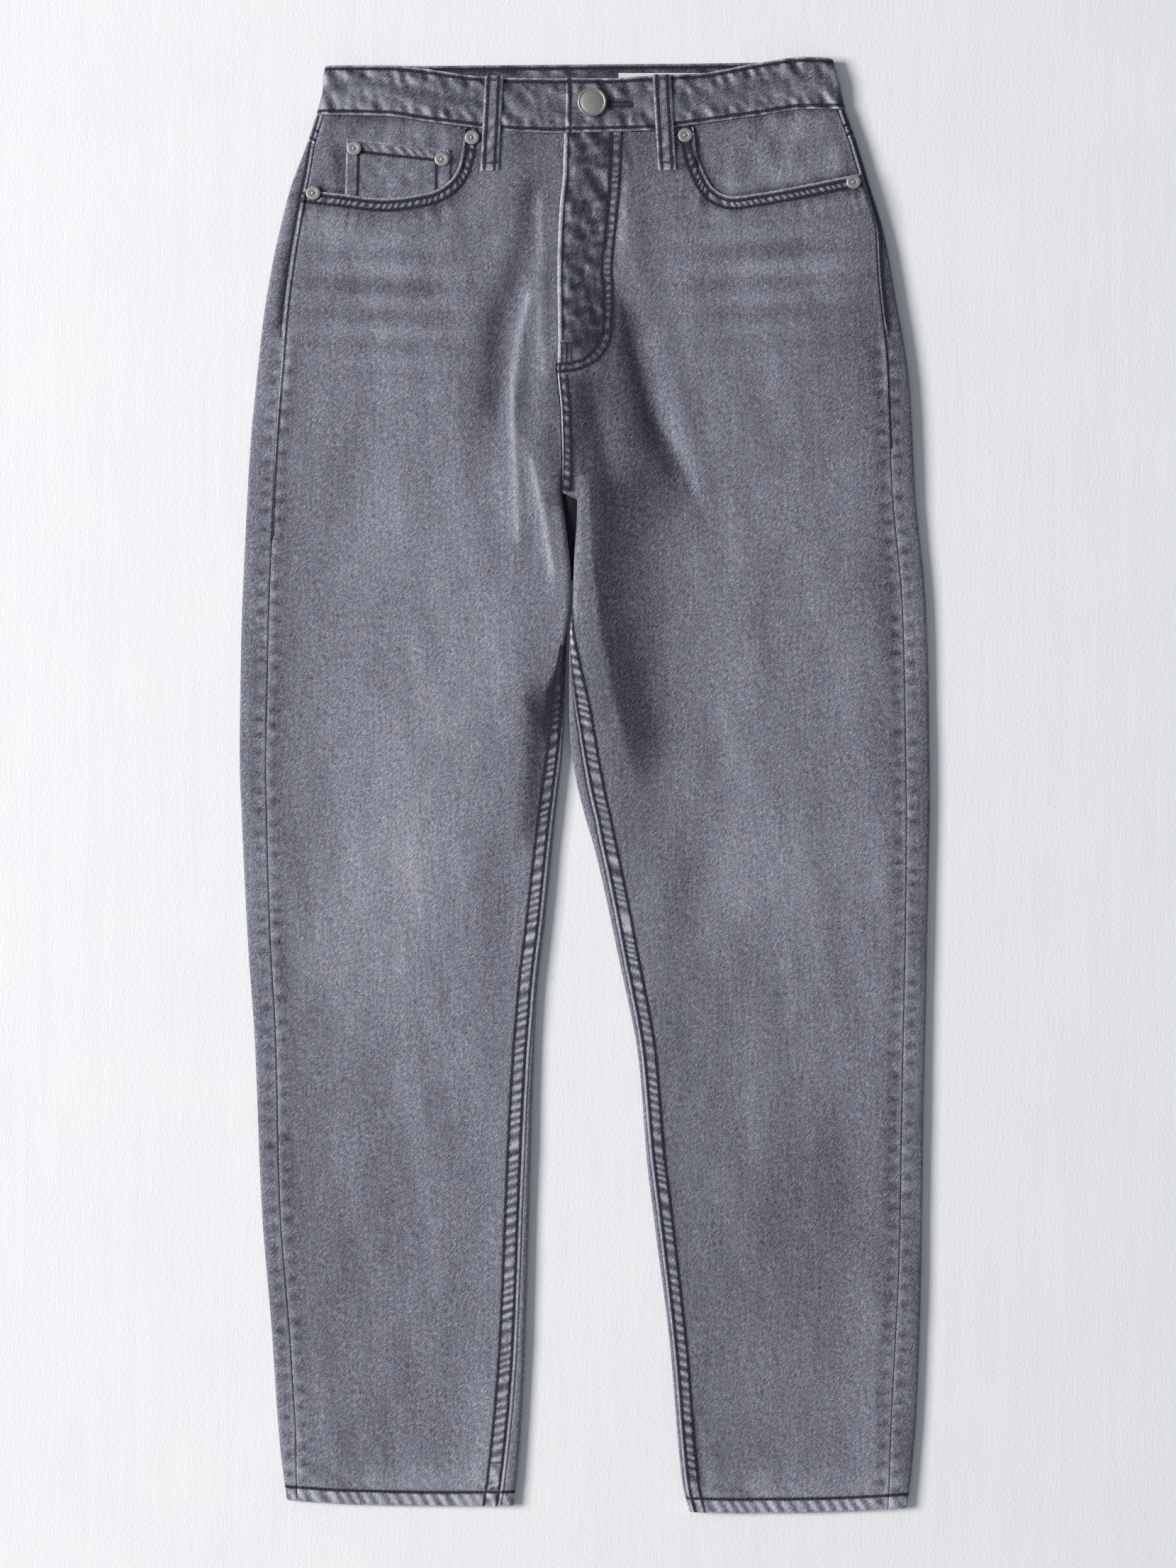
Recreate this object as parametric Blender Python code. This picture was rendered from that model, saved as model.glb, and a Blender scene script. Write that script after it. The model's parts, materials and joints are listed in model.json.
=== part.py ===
"""Relaxed fit jeans laid flat on their back, front up, as closed walls of cloth.

The floor is z = 0, +Z is up, the waist is towards +Y and the wearer's left leg lies
at +X. Every table and size here is in millimetres; meshes are written in metres.
Each half of the garment is a loop of cloth pressed flat: it lies flat beneath, rolls
round at the outer and inner folds, and dips between them on top. Panels are stretches
of that loop, parted by a narrow gap wherever a seam joins them.
"""
import math

import bmesh
import bpy
import numpy as np

MM = 0.001

# Driving dimensions
CLOTH = 1.2             # wall of one layer of denim
BAND = 2.2              # wall of the waistband, cloth turned double
HEM_WALL = 2.4          # wall of the turned-up hem
HEM_TOP_Y = -478        # the turned-up hem reaches this high
SEAM_GAP = 0.3          # between pieces at a seam and between layers
HIP_LIFT = CLOTH + SEAM_GAP     # back panels above the floor, over the back pockets
LAP = 1.6               # how far a lapped edge stands over what it covers
BAND_RISE = 1.6         # waistband's face above the panels' face
BAND_LAP = BAND + 0.4   # buttonhole end of the band over its button end
BUTTON_END_X = 30       # the band's lower end, beneath the fly
BUTTONHOLE_END_X = -12.5
RIVET_RADIUS = 4.95
BUTTON_RADIUS = 9.9
LOOP_WIDTH = 12.2
LOOP_LENGTH = 64
LOOP_WALL = 1.4
CROTCH_Y = 198
RISE_END_Y = 238        # above this the rise seams lie as flat as the panels
HALF_GAP = SEAM_GAP / 2
QUARTER = math.pi / 2

# Each leg's outline from above: (y, x) down its outer fold and down its inner fold
OUTER_RIGHT = (
    (487, -176), (470, -177.6), (453, -182), (430, -189.6), (405, -199), (378, -206),
    (350, -212), (320, -217), (290, -220.5), (235, -226), (177, -229.5), (100, -232.7),
    (20, -233.8), (-25, -232.3), (-110, -228), (-170, -223.7), (-284, -219),
    (-370, -212), (-430, -208), (-457, -205.4), (-488, -201.3))
OUTER_LEFT = (
    (492, 168), (474, 172.8), (456, 177), (437, 183.8), (408, 192.5), (374, 202.6),
    (330, 210.7), (273, 219.8), (196, 224.2), (119, 231.4), (52, 233.3), (-10, 233.8),
    (-92, 232.3), (-236, 229.4), (-332, 228), (-428, 224.6), (-457, 222.2), (-493, 218))
INNER_RIGHT = (
    (198, -15.4), (185, -13.9), (166, -11.5), (141, -9.3), (122, -9.7), (100, -12),
    (62, -13.2), (33, -14.4), (-25, -20.2), (-92, -26.9), (-140, -32.2), (-188, -34.6),
    (-284, -37.4), (-380, -40.3), (-428, -42.7), (-466, -45.6), (-488, -48))
INNER_LEFT = (
    (198, -15.1), (194, -5.2), (180, -5.5), (156, -7.2), (141, -7.9), (122, -8.4),
    (100, -10.3), (62, -10.8), (33, -10.1), (4, -5.8), (-25, 1.4), (-44, 7),
    (-115, 22.6), (-186, 36.5), (-255, 42.2), (-284, 45.6), (-378, 57.6), (-472, 66.1),
    (-492, 70.6))
# Seams above the crotch: (y, x) of the fly edge and front rise, and of the back rise
FRONT_RISE = (
    (456, -14), (415, -14.9), (390, -17.3), (350, -18.7), (301, -18.2), (282, -18.7),
    (254, -16.3), (205, -15.1), (198, -15.25))
BACK_RISE = ((456, 0), (380, -1), (300, -5), (230, -11), (198, -15.25))
# Side seams on top of each leg: (y, inset from the outer fold, seen from above)
SIDE_SEAM_RIGHT = (
    (456, 5.2), (436, 5.7), (408, 11), (350, 14.5), (250, 17.5), (90, 18.7),
    (-120, 15.5), (-331, 12.5), (-425, 12.2), (-488, 7))
SIDE_SEAM_LEFT = (
    (457, 5.4), (416, 5.4), (379, 6), (350, 9.7), (308, 12.6), (250, 15.5), (43, 16.4),
    (-115, 15), (-284, 15), (-425, 17), (-492, 13))
# Inseams: (y, way round the cloth from the inner fold up to the seam)
INSEAM_RIGHT = (
    (198, 0), (120, 0.3), (60, 1), (20, 2.3), (-44, 3.3), (-140, 3.6), (-188, 4.9),
    (-284, 6.5), (-380, 7.4), (-488, 10.4))
INSEAM_LEFT = (
    (198, 0), (130, 0.5), (86, 2.6), (54, 6), (22, 9.1), (-19, 8.4), (-44, 6.3),
    (-115, 4.9), (-204, 3.6), (-284, 4.5), (-378, 3.5), (-492, 3.5))
# Cross seams: (x, y) along the hems, the waist seam, the band's top and the yoke seam
HEM_RIGHT = ((-202, -483.8), (-150, -487), (-100, -488), (-48, -487.4))
HEM_LEFT = ((70, -491.6), (110, -492.7), (160, -492.2), (218, -489))
WAIST_FRONT = (
    (-182, 453.4), (-136, 453), (-106, 449), (-75, 445.2), (-55, 442.8), (-14, 441.4),
    (10, 441.8), (47, 442.8), (62, 445.2), (117, 453), (148, 457.2), (177, 457.2))
WAIST_BACK = ((-182, 453.4), (0, 452), (120, 453.5), (177, 457.2))
TOP_FRONT = (
    (-176.5, 486.8), (-133, 487), (-75, 480.2), (-55, 478.8), (-14, 478.4), (14, 478),
    (47, 480), (79, 482), (117, 488.7), (148, 492.6), (168, 491.8))
TOP_BACK = ((-176.5, 486.8), (-129, 487.4), (0, 488.6), (102, 489.6), (168, 491.8))
YOKE_RIGHT = ((-188, 437), (-184, 434), (0, 386))
YOKE_LEFT = ((0, 386), (180, 438), (184, 441))
# Scooped front pocket openings: (x, y) from the side seam to the waist seam
POCKET_RIGHT = (
    (-190.4, 403), (-166, 400), (-136, 397), (-106, 400.8), (-92, 408.2),
    (-85.5, 418), (-82.6, 430), (-81, 444.6))
POCKET_LEFT = (
    (186.2, 413.6), (148, 406), (117, 400.6), (100, 398.5), (88, 403.4), (79, 418.5),
    (75, 431), (73.4, 445.4))
# Thickness lying flat: (y, top at the folds, top between them, underside)
LYING = (
    (500, 10, 7.4, HIP_LIFT), (440, 10, 7.2, HIP_LIFT), (350, 9.8, 7.2, HIP_LIFT),
    (228, 9.2, 6.4, HIP_LIFT), (185, 8.6, 5.6, 0), (140, 8, 4.8, 0), (40, 7.6, 3.8, 0),
    (-300, 7.4, 3.4, 0), (-455, 7.2, 3.5, 0), (-477, 7.4, 5.8, 0), (-495, 7.4, 5.8, 0))
# Largest folds: (x, y at one end, x, y at the other, half width, height)
FOLDS = (
    (-34, 350, -30, 276, 5, 1.2),
    (-36, 340, -49, 258, 8, 2.2),
    (-49, 258, -45, 167, 8, 2.2),
    (-36, 228, -20, 143, 7, 2.0),
    (31, 327, 50, 240, 8, -1.5),
    (50, 240, 66, 196, 8, -1.2),
    (46, 322, 78, 208, 10, 2.4),
    (4, 264, 15, 212, 6, -1.2),
    (6, 229, 9, 160, 8, 1.8),
    (-40, 60, -25, 36, 6, 1.6),
    (-120, 345, -80, 372, 14, 1.3),
    (95, 352, 140, 330, 14, 1.3),
    (-150, 60, -80, -20, 30, 1.6),
    (110, 40, 150, -60, 30, 1.6),
    (-183, -464, -170, -474, 6, 1.4),
    (76, -430, 90, -474, 7, 1.4))
# Button, rivets and front belt loops: (x, y) of centres and of top and foot
BUTTON_AT = (4.9, 461.3)
RIVETS_AT = {
    "rivet_right_side": (-183.5, 400.3),
    "rivet_right_upper": (-76.3, 438.2),
    "rivet_left_upper": (67.9, 439.8),
    "rivet_left_side": (181.6, 407.8),
    "rivet_coin_outer": (-155.9, 430.6),
    "rivet_coin_inner": (-96.6, 423.6),
}
LOOPS_FRONT = {
    "belt_loop_front_right": (-61.2, 479.8, -64.4),
    "belt_loop_front_left": (52, 480.2, 55.8),
}
LOOPS_BACK = {
    "belt_loop_back_right": (-112, 486),
    "belt_loop_back_centre": (0, 487),
    "belt_loop_back_left": (112, 488),
}


def through(rows, column=1):
    """Curve through a table: cubic pieces between rows, with slopes that never overshoot."""
    table = np.array(sorted(rows), dtype=float)
    place, value = table[:, 0], table[:, column]
    step = np.diff(place)
    rise = np.diff(value) / step
    turn = rise[:-1] * rise[1:] > 0
    mean = 2 * rise[:-1] * rise[1:] / np.where(turn, rise[:-1] + rise[1:], 1)
    slope = np.concatenate(([rise[0]], np.where(turn, mean, 0), [rise[-1]]))

    def curve(at):
        at = np.asarray(at, dtype=float)
        cell = np.clip(np.searchsorted(place, at) - 1, 0, len(step) - 1)
        t = np.clip((at - place[cell]) / step[cell], 0, 1)
        return (value[cell] * (1 + 2 * t) * (1 - t) ** 2
                + slope[cell] * step[cell] * t * (1 - t) ** 2
                + value[cell + 1] * t * t * (3 - 2 * t)
                + slope[cell + 1] * step[cell] * t * t * (t - 1))
    return curve


def ease(value, start, end):
    """0 before start, 1 after end and a smooth step between; end may be below start."""
    t = np.clip((value - start) / (end - start), 0, 1)
    return t * t * (3 - 2 * t)


def mix(first, second, share):
    """The value that lies a share of the way from first to second."""
    return first + (second - first) * share


def along_outline(rows, shares):
    """Points of an open outline at shares of its length."""
    outline = np.array(rows, dtype=float)
    steps = np.hypot(*np.diff(outline, axis=0).T)
    walked = np.concatenate(([0], np.cumsum(steps)))
    at = np.asarray(shares) * walked[-1]
    return through(list(zip(walked, outline[:, 0])))(at), through(list(zip(walked, outline[:, 1])))(at)


def distance_to(outline, x, y):
    """Distance from points to an outline that is sampled closely."""
    return np.sqrt((x[..., None] - outline[0]) ** 2 + (y[..., None] - outline[1]) ** 2).min(-1)


edge_top = through(LYING, 1)
middle_top = through(LYING, 2)
underside = through(LYING, 3)
waist_front = through(WAIST_FRONT)
waist_back = through(WAIST_BACK)
top_front = through(TOP_FRONT)
top_back = through(TOP_BACK)
front_rise = through(FRONT_RISE)
back_rise = through(BACK_RISE)
outer_right = through(OUTER_RIGHT)
outer_left = through(OUTER_LEFT)


def fold_height(x, y):
    """Sum of the folds: each a bell across its line, fading out past both ends."""
    height = np.zeros(np.broadcast(x, y).shape)
    for x1, y1, x2, y2, half_width, high in FOLDS:
        run = math.hypot(x2 - x1, y2 - y1)
        ahead = ((x - x1) * (x2 - x1) + (y - y1) * (y2 - y1)) / run
        across = ((x - x1) * (y2 - y1) - (y - y1) * (x2 - x1)) / run
        past = np.maximum(np.maximum(-ahead, ahead - run), 0)
        height = height + high * np.exp(-(across / half_width) ** 2 - (past / (2 * half_width)) ** 2)
    return height


def beside_fold(distance, flat, fall):
    """1 along a fold of the cloth, as far as flat, then a bell that falls away."""
    return np.exp(-(np.maximum(distance - flat, 0) / fall) ** 2)


class Loop:
    """A loop of cloth pressed flat, as a function of the way round it and of y.

    The way round starts at the outer fold, runs over the top to the inner fold, and
    comes back beneath. Both folds are round, and half as high as the loop is thick.
    """

    def __init__(self, side, outer, front_inner, back_inner):
        self.inward = -side
        self.outer = outer
        self.front_inner = front_inner
        self.back_inner = back_inner

    def roll(self, y):
        """1 where the inner end is a round fold, 0 where it is a seam lying flat."""
        return ease(y, RISE_END_Y, CROTCH_Y)

    def top(self, x, y):
        """Height of the upper face between the folds."""
        from_outer = np.abs(x - self.outer(y))
        from_inner = np.abs(x - self.front_inner(y))
        raised = 1 - (1 - beside_fold(from_outer, 14, 32)) * (
            1 - self.roll(y) * beside_fold(from_inner, 9, 26))
        return mix(middle_top(y), edge_top(y), raised) + fold_height(x, y) * (1 - raised * 0.6)

    def edge(self, y):
        return edge_top(y)

    def floor(self, y):
        return underside(y)

    def radius(self, y):
        return (self.edge(y) - self.floor(y)) / 2

    def lengths(self, y):
        """Length of the upper and of the lower way from fold to fold."""
        spare = (math.pi - 2) * self.radius(y)
        upper = np.abs(self.front_inner(y) - self.outer(y)) + spare
        lower = np.abs(self.back_inner(y) - self.outer(y)) + spare
        return upper, lower

    def along(self, inset, y):
        """Way round from a fold to the point that lies an inset from it, seen from above."""
        radius = self.radius(y)
        near = radius * np.arccos(np.clip(1 - inset / radius, -1, 1))
        return np.where(inset < radius, near, QUARTER * radius + inset - radius)

    def point(self, way, y, lift=None):
        """Point of the outer face, lifted on top by a function of x and y."""
        upper, lower = self.lengths(y)
        way = np.mod(way, upper + lower)
        beneath = way > upper
        way = np.where(beneath, upper + lower - way, way)
        rest = np.where(beneath, lower, upper) - way
        radius = self.radius(y)
        roll = self.roll(y)
        outer_turn = np.clip(way / radius, 0, QUARTER)
        inner_turn = np.clip(rest / radius, 0, QUARTER)
        from_outer = radius * (1 - np.cos(outer_turn)) + np.maximum(way - QUARTER * radius, 0)
        from_inner = radius * mix(inner_turn / QUARTER, 1 - np.cos(inner_turn), roll)
        inner = np.where(beneath, self.back_inner(y), self.front_inner(y))
        x = np.where(rest < QUARTER * radius, inner - self.inward * from_inner,
                     self.outer(y) + self.inward * from_outer)
        share = np.sin(outer_turn) * (1 - roll * (1 - np.sin(inner_turn)))
        middle = self.floor(y) + radius
        high = self.top(x, y)
        if lift is not None:
            high = high + lift(x, y)
        z = np.where(beneath, mix(middle, self.floor(y), share), mix(middle, high, share))
        return np.stack([x, y + 0 * x, z], axis=-1)

    def wall(self, way, y, thickness, lift=None):
        """Outer and inner face of a stretch of cloth: the inner one is moved in squarely."""
        step = 0.1
        outer = self.point(way, y, lift)
        round_it = self.point(way + step, y, lift) - self.point(way - step, y, lift)
        up_it = self.point(way, y + step, lift) - self.point(way, y - step, lift)
        square = np.cross(round_it, up_it) * self.inward
        square /= np.linalg.norm(square, axis=-1, keepdims=True)
        return outer, outer - square * np.asarray(thickness)[..., None]


class Band(Loop):
    """The waistband: one loop from the right fold over the top to the left fold."""

    def roll(self, y):
        return np.ones(np.shape(y))

    def edge(self, y):
        return edge_top(y) + 0.8

    def top(self, x, y):
        from_fold = np.minimum(np.abs(x - self.outer(y)), np.abs(x - self.front_inner(y)))
        raised = beside_fold(from_fold, 14, 30)
        return mix(middle_top(y) + BAND_RISE, self.edge(y), raised)


def both(above, below):
    """A line that follows one table above the crotch and another below it."""
    return lambda y: np.where(np.asarray(y) > CROTCH_Y, above(y), below(y))


def right_underlap(y):
    """The right front runs on beneath the left one along the fly."""
    return front_rise(y) - HALF_GAP + 10 * ease(y, 286, 302)


RIGHT = Loop(-1, outer_right,
             both(right_underlap, through(INNER_RIGHT)),
             both(lambda y: back_rise(y) - HALF_GAP, through(INNER_RIGHT)))
LEFT = Loop(1, outer_left,
            both(lambda y: front_rise(y) + HALF_GAP, through(INNER_LEFT)),
            both(lambda y: back_rise(y) + HALF_GAP, through(INNER_LEFT)))
WAIST = Band(-1, outer_right, outer_left, outer_left)

SIDES = {
    "right": (RIGHT, through(SIDE_SEAM_RIGHT), through(INSEAM_RIGHT), through(HEM_RIGHT),
              POCKET_RIGHT, through(YOKE_RIGHT)),
    "left": (LEFT, through(SIDE_SEAM_LEFT), through(INSEAM_LEFT), through(HEM_LEFT),
             POCKET_LEFT, through(YOKE_LEFT)),
}


def cloth_wall(y):
    """One layer, and the turned-up cloth of the hem below."""
    return mix(CLOTH, HEM_WALL, ease(y, HEM_TOP_Y + 4, HEM_TOP_Y - 2))


def pocket_lift(side):
    """Stand of the front over its pocket facing, and on the right over the coin pocket."""
    outline = along_outline(SIDES[side][4], np.linspace(0, 1, 60))

    def lift(x, y):
        stand = LAP
        if side == "right":
            stand = LAP + LAP * ease(x, -176, -164) * ease(x, -78, -90)
        return stand * ease(distance_to(outline, x, y), 48, 22)
    return lift


def fly_lift(x, y):
    """Stand of the left front over the right one and the fly shield."""
    inward = x - front_rise(y)
    return LAP * ease(y, 262, 284) * ease(inward, 80, 44)


def front_lift(side):
    pocket = pocket_lift(side)
    if side == "right":
        return pocket
    return lambda x, y: np.maximum(pocket(x, y), fly_lift(x, y))


def build_mesh(name, points, faces, material):
    """One closed body from points in millimetres, its faces turned outwards."""
    body = bmesh.new()
    verts = [body.verts.new(point * MM) for point in points]
    for face in faces:
        body.faces.new([verts[index] for index in face])
    bmesh.ops.recalc_face_normals(body, faces=body.faces)
    mesh = bpy.data.meshes.new(name)
    body.to_mesh(mesh)
    body.free()
    mesh.shade_smooth()
    mesh.set_sharp_from_angle(angle=math.radians(40))
    mesh.materials.append(material)
    thing = bpy.data.objects.new(name, mesh)
    bpy.context.collection.objects.link(thing)
    return thing


def closed_wall(name, outer, inner, material):
    """Join two grids of points round their rim."""
    rows, columns = outer.shape[:2]
    points = np.concatenate([outer.reshape(-1, 3), inner.reshape(-1, 3)])
    under = rows * columns
    index = np.arange(under).reshape(rows, columns)
    faces = []
    for i in range(rows - 1):
        for j in range(columns - 1):
            quad = [index[i, j], index[i, j + 1], index[i + 1, j + 1], index[i + 1, j]]
            faces.append(quad)
            faces.append([corner + under for corner in reversed(quad)])
    rim = np.concatenate([index[0, :], index[1:, -1], index[-1, -2::-1], index[-2:0:-1, 0]])
    for first, second in zip(rim, np.roll(rim, -1)):
        low, high = min(first, second), max(first, second)
        faces.append([low, high, high + under])
        faces.append([low, high + under, low + under])
    return build_mesh(name, points, faces, material)


def finish(name, colour, roughness, metallic=0.0):
    """A plain finish of one colour."""
    material = bpy.data.materials.new(name)
    material.use_nodes = True
    shader = material.node_tree.nodes["Principled BSDF"]
    shader.inputs["Base Color"].default_value = (*colour, 1)
    shader.inputs["Roughness"].default_value = roughness
    shader.inputs["Metallic"].default_value = metallic
    return material


# Rows up a leg, in shares of the way from hem to crotch and from crotch to the front's top
LEG_ROWS = (0, 0.012, 0.022, 0.06, 0.13, 0.21, 0.3, 0.39, 0.48, 0.56, 0.63, 0.69, 0.74,
            0.78, 0.815, 0.85, 0.9, 0.94, 0.975, 0.994)
HIP_ROWS = (0, 0.025, 0.06, 0.11, 0.17, 0.25, 0.34, 0.37, 0.42, 0.5, 0.6, 0.7, 0.8, 0.9, 1)


def row_heights(hem_y, top_y, hip_rows):
    """Heights of the rows for columns that start and end at different heights."""
    below = [mix(hem_y, CROTCH_Y, share) for share in LEG_ROWS]
    above = [mix(CROTCH_Y, top_y, share) for share in hip_rows]
    return np.stack(below + above)


def settle(loop, way_at, line, start_y):
    """Heights at which columns, whose way round depends on y, meet a line given by x."""
    y = start_y
    for _ in range(4):
        y = line(loop.point(way_at(y), y)[..., 0])
    return y


def front_panel(name, side, material):
    """Front from side seam to inseam and fly, its top cut out along the pocket opening."""
    loop, side_seam, inseam, hem, pocket, _ = SIDES[side]
    pocket_columns, waist_columns, fold_columns = 9, 5, 3

    def start(y):
        return loop.along(side_seam(y), y) + HALF_GAP

    def end(y):
        return loop.lengths(y)[0] - inseam(y) - HALF_GAP

    def fold_start(y):
        flat = loop.lengths(y)[0] - QUARTER * loop.radius(y) - 16 * (1 - loop.roll(y))
        return np.minimum(flat, end(y) - 3)

    pocket_x, pocket_y = along_outline(pocket, np.linspace(0, 1, pocket_columns + 1))
    pocket_way = loop.along(np.abs(pocket_x - loop.outer(pocket_y)), pocket_y)
    main = pocket_columns + waist_columns + 1
    fold_share = np.linspace(0, 1, fold_columns + 1)[1:]

    def ways(y, share):
        """Way round of every column: shares of the flat stretch, then those of the fold."""
        flat, fold = y[..., :main], y[..., main:]
        return np.concatenate([mix(start(flat), fold_start(flat), share),
                               mix(fold_start(fold), end(fold), fold_share)], axis=-1)

    def waist_share(y):
        """Shares at the top: along the pocket opening, then evenly to the fold's start."""
        at_pocket = (pocket_way - start(pocket_y)) / (fold_start(pocket_y) - start(pocket_y))
        at_pocket[0] = 0
        return np.concatenate([at_pocket, mix(at_pocket[-1], 1, np.linspace(0, 1, waist_columns + 1)[1:])])

    hem_share = np.linspace(0, 1, main)
    top_share = waist_share(443.0)
    waist_y = settle(loop, lambda y: ways(y, top_share), waist_front, np.full(main + fold_columns, 443.0))
    top_y = np.concatenate([pocket_y, waist_y[pocket_columns + 1:]]) - HALF_GAP
    hem_y = settle(loop, lambda y: ways(y, hem_share), hem, np.full(main + fold_columns, -488.0))
    y = row_heights(hem_y, top_y, HIP_ROWS)
    climb = (y[:, :main] - 100) / (top_y[:main] - 100)
    way = ways(y, mix(hem_share, top_share, ease(climb, 0, 1)))
    return closed_wall(name, *loop.wall(way, y, cloth_wall(y), front_lift(side)), material)


def beneath_ways(loop, side_seam, first, y):
    """Ways round from the inner end beneath and up over the outer fold to the side seam."""
    upper, lower = loop.lengths(y)
    quarter = QUARTER * loop.radius(y)
    anchors = (
        first,
        upper + quarter + 25 * (1 - loop.roll(y)),
        upper + lower - quarter,
        upper + lower + quarter,
        upper + lower + loop.along(side_seam(y), y) - HALF_GAP)
    counts = (4, 3, 5, 1)
    ways = [anchors[0]]
    for one, other, count in zip(anchors, anchors[1:], counts):
        ways += [mix(one, other, step / count) for step in range(1, count + 1)]
    return ways


def column_grid(loop, side_seam, first, row_ys):
    """Ways round for a grid whose columns have their own heights."""
    columns = row_ys.shape[1]
    picked = [beneath_ways(loop, side_seam, first(row_ys[:, c]), row_ys[:, c])[c]
              for c in range(columns)]
    return np.stack(picked, axis=1)


def seam_heights(loop, side_seam, first, line, start_y):
    """Heights where each column of the beneath grid meets a seam line that is given by x."""
    count = len(beneath_ways(loop, side_seam, first(start_y), start_y))
    start = np.full(count, float(start_y))
    return settle(loop, lambda y: column_grid(loop, side_seam, first, y[None, :])[0], line, start)


def inner_start(loop, inseam):
    """Way round to the inner end of the back: just past the inseam or the back rise."""
    return lambda y: loop.lengths(y)[0] - inseam(y) + HALF_GAP


def back_panel(name, side, material):
    """Back from inseam and back rise, beneath and round the outer fold to the side seam."""
    loop, side_seam, inseam, hem, pocket, yoke = SIDES[side]
    first = inner_start(loop, inseam)
    hem_y = seam_heights(loop, side_seam, first, hem, -488)
    top_y = seam_heights(loop, side_seam, first, yoke, 420) - HALF_GAP
    pocket_share = (pocket[0][1] - HALF_GAP - CROTCH_Y) / (top_y[-1] - CROTCH_Y)
    hip_rows = [share * pocket_share for share in HIP_ROWS] + [mix(pocket_share, 1, 0.5), 1]
    y = row_heights(hem_y, top_y, hip_rows)
    way = column_grid(loop, side_seam, first, y)
    return closed_wall(name, *loop.wall(way, y, cloth_wall(y)), material)


def yoke_panel(name, side, material):
    """Shaped yoke between the back panel and the waistband, round to the side seam."""
    loop, side_seam, inseam, _, _, yoke = SIDES[side]
    first = inner_start(loop, inseam)
    foot_y = seam_heights(loop, side_seam, first, yoke, 420) + HALF_GAP
    top_y = seam_heights(loop, side_seam, first, waist_back, 453) - HALF_GAP
    y = np.stack([mix(foot_y, top_y, share) for share in (0, 0.5, 1)])
    way = column_grid(loop, side_seam, first, y)
    return closed_wall(name, *loop.wall(way, y, np.full(y.shape, CLOTH)), material)


def on_top(loop, x, y, lift, thickness):
    """Outer and inner face of a piece that lies on the top, lifted off the loop's face."""
    way = loop.along(np.abs(x - loop.outer(y)), y)
    return loop.wall(way, y, np.full(y.shape, thickness), lift)


def pocket_facing(name, side, material):
    """Cloth that shows in the pocket opening, and runs on beneath the front."""
    loop, side_seam, _, _, pocket, _ = SIDES[side]
    away = -loop.inward
    columns, rows = 8, 5
    end_x = pocket[-1][0] - away * 14
    share = np.linspace(0, 1, columns + 1)[None, :]
    rise = np.linspace(0, 1, rows + 1)[:, None]
    low = mix(pocket[2][1] - 9, pocket[4][1] + 12, ease(share, 0.72, 1)) + 0 * rise
    y = mix(low, 450, rise)
    for _ in range(4):
        seam_x = loop.outer(y) - away * (side_seam(y) + SEAM_GAP)
        x = mix(seam_x, end_x, share)
        y = mix(low, waist_front(x) - HALF_GAP, rise)
    return closed_wall(name, *on_top(loop, x, y, None, CLOTH), material)


def coin_pocket(name, material):
    """Small pocket on the right facing; its foot goes beneath the front."""
    share = np.linspace(0, 1, 7)[None, :]
    rise = np.linspace(0, 1, 5)[:, None]
    x = mix(mix(-162.2, -91.5, share), mix(-160.8, -91, share), rise)
    y = mix(390 + 0 * share, mix(437.5, 430, share), rise)
    return closed_wall(name, *on_top(RIGHT, x, y, coin_lift, CLOTH), material)


def fly_shield(name, material):
    """Strip behind the fly, sewn to the right front's edge and beneath the left front."""
    share = np.linspace(0, 1, 4)[None, :]
    y = np.linspace(304, 441, 7)[:, None] + 0 * share
    start = front_rise(y) + 10 + SEAM_GAP
    x = start + 21 * share
    y = np.minimum(y, waist_front(x) - HALF_GAP)
    return closed_wall(name, *on_top(LEFT, x, y, None, CLOTH), material)


def waistband(name, material):
    """Band from its button end under the fly, round the back, to its buttonhole end on top."""
    rows = 4
    mid_y = 470.0
    upper, lower = WAIST.lengths(mid_y)
    quarter = QUARTER * WAIST.radius(mid_y)
    button_end = WAIST.along(BUTTON_END_X - WAIST.outer(mid_y), mid_y)
    buttonhole_end = WAIST.along(WAIST.front_inner(mid_y) - BUTTONHOLE_END_X, mid_y)
    anchors = (
        button_end, quarter, -quarter, quarter - lower, -quarter - lower, -buttonhole_end - lower)
    counts = (10, 5, 12, 5, 13)
    ways = [float(anchors[0])]
    for one, other, count in zip(anchors, anchors[1:], counts):
        ways += [float(mix(one, other, step / count)) for step in range(1, count + 1)]
    way_mid = np.array(ways)[None, :]
    rise = np.linspace(0, 1, rows + 1)[:, None]
    last = way_mid < -lower
    beneath = (way_mid < 0) & ~last
    y = mix(454.0, 488.0, rise) + 0 * way_mid
    for _ in range(4):
        now_upper, now_lower = WAIST.lengths(y)
        stretch = np.where(last, -now_lower + (way_mid + lower) * now_upper / upper,
                           np.where(beneath, way_mid * now_lower / lower, way_mid * now_upper / upper))
        x = WAIST.point(stretch, y)[..., 0]
        foot = np.where(beneath, waist_back(x), waist_front(x)) + HALF_GAP
        head = np.where(beneath, top_back(x), top_front(x))
        y = mix(foot, head, rise)
    lapped = np.broadcast_to(last, y.shape)

    def lift(x, y):
        return np.where(lapped, band_lap(x), 0)
    return closed_wall(name, *WAIST.wall(stretch, y, np.full(y.shape, BAND), lift), material)


def band_lap(x):
    """Stand of the band's buttonhole end over its button end."""
    return BAND_LAP * ease(x, 84, 40)


def band_face(x, y, side):
    """Height of the band's upper face, with the buttonhole end's stand on the left."""
    return WAIST.top(x, y) + (band_lap(x) if side == "left" else 0)


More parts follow.
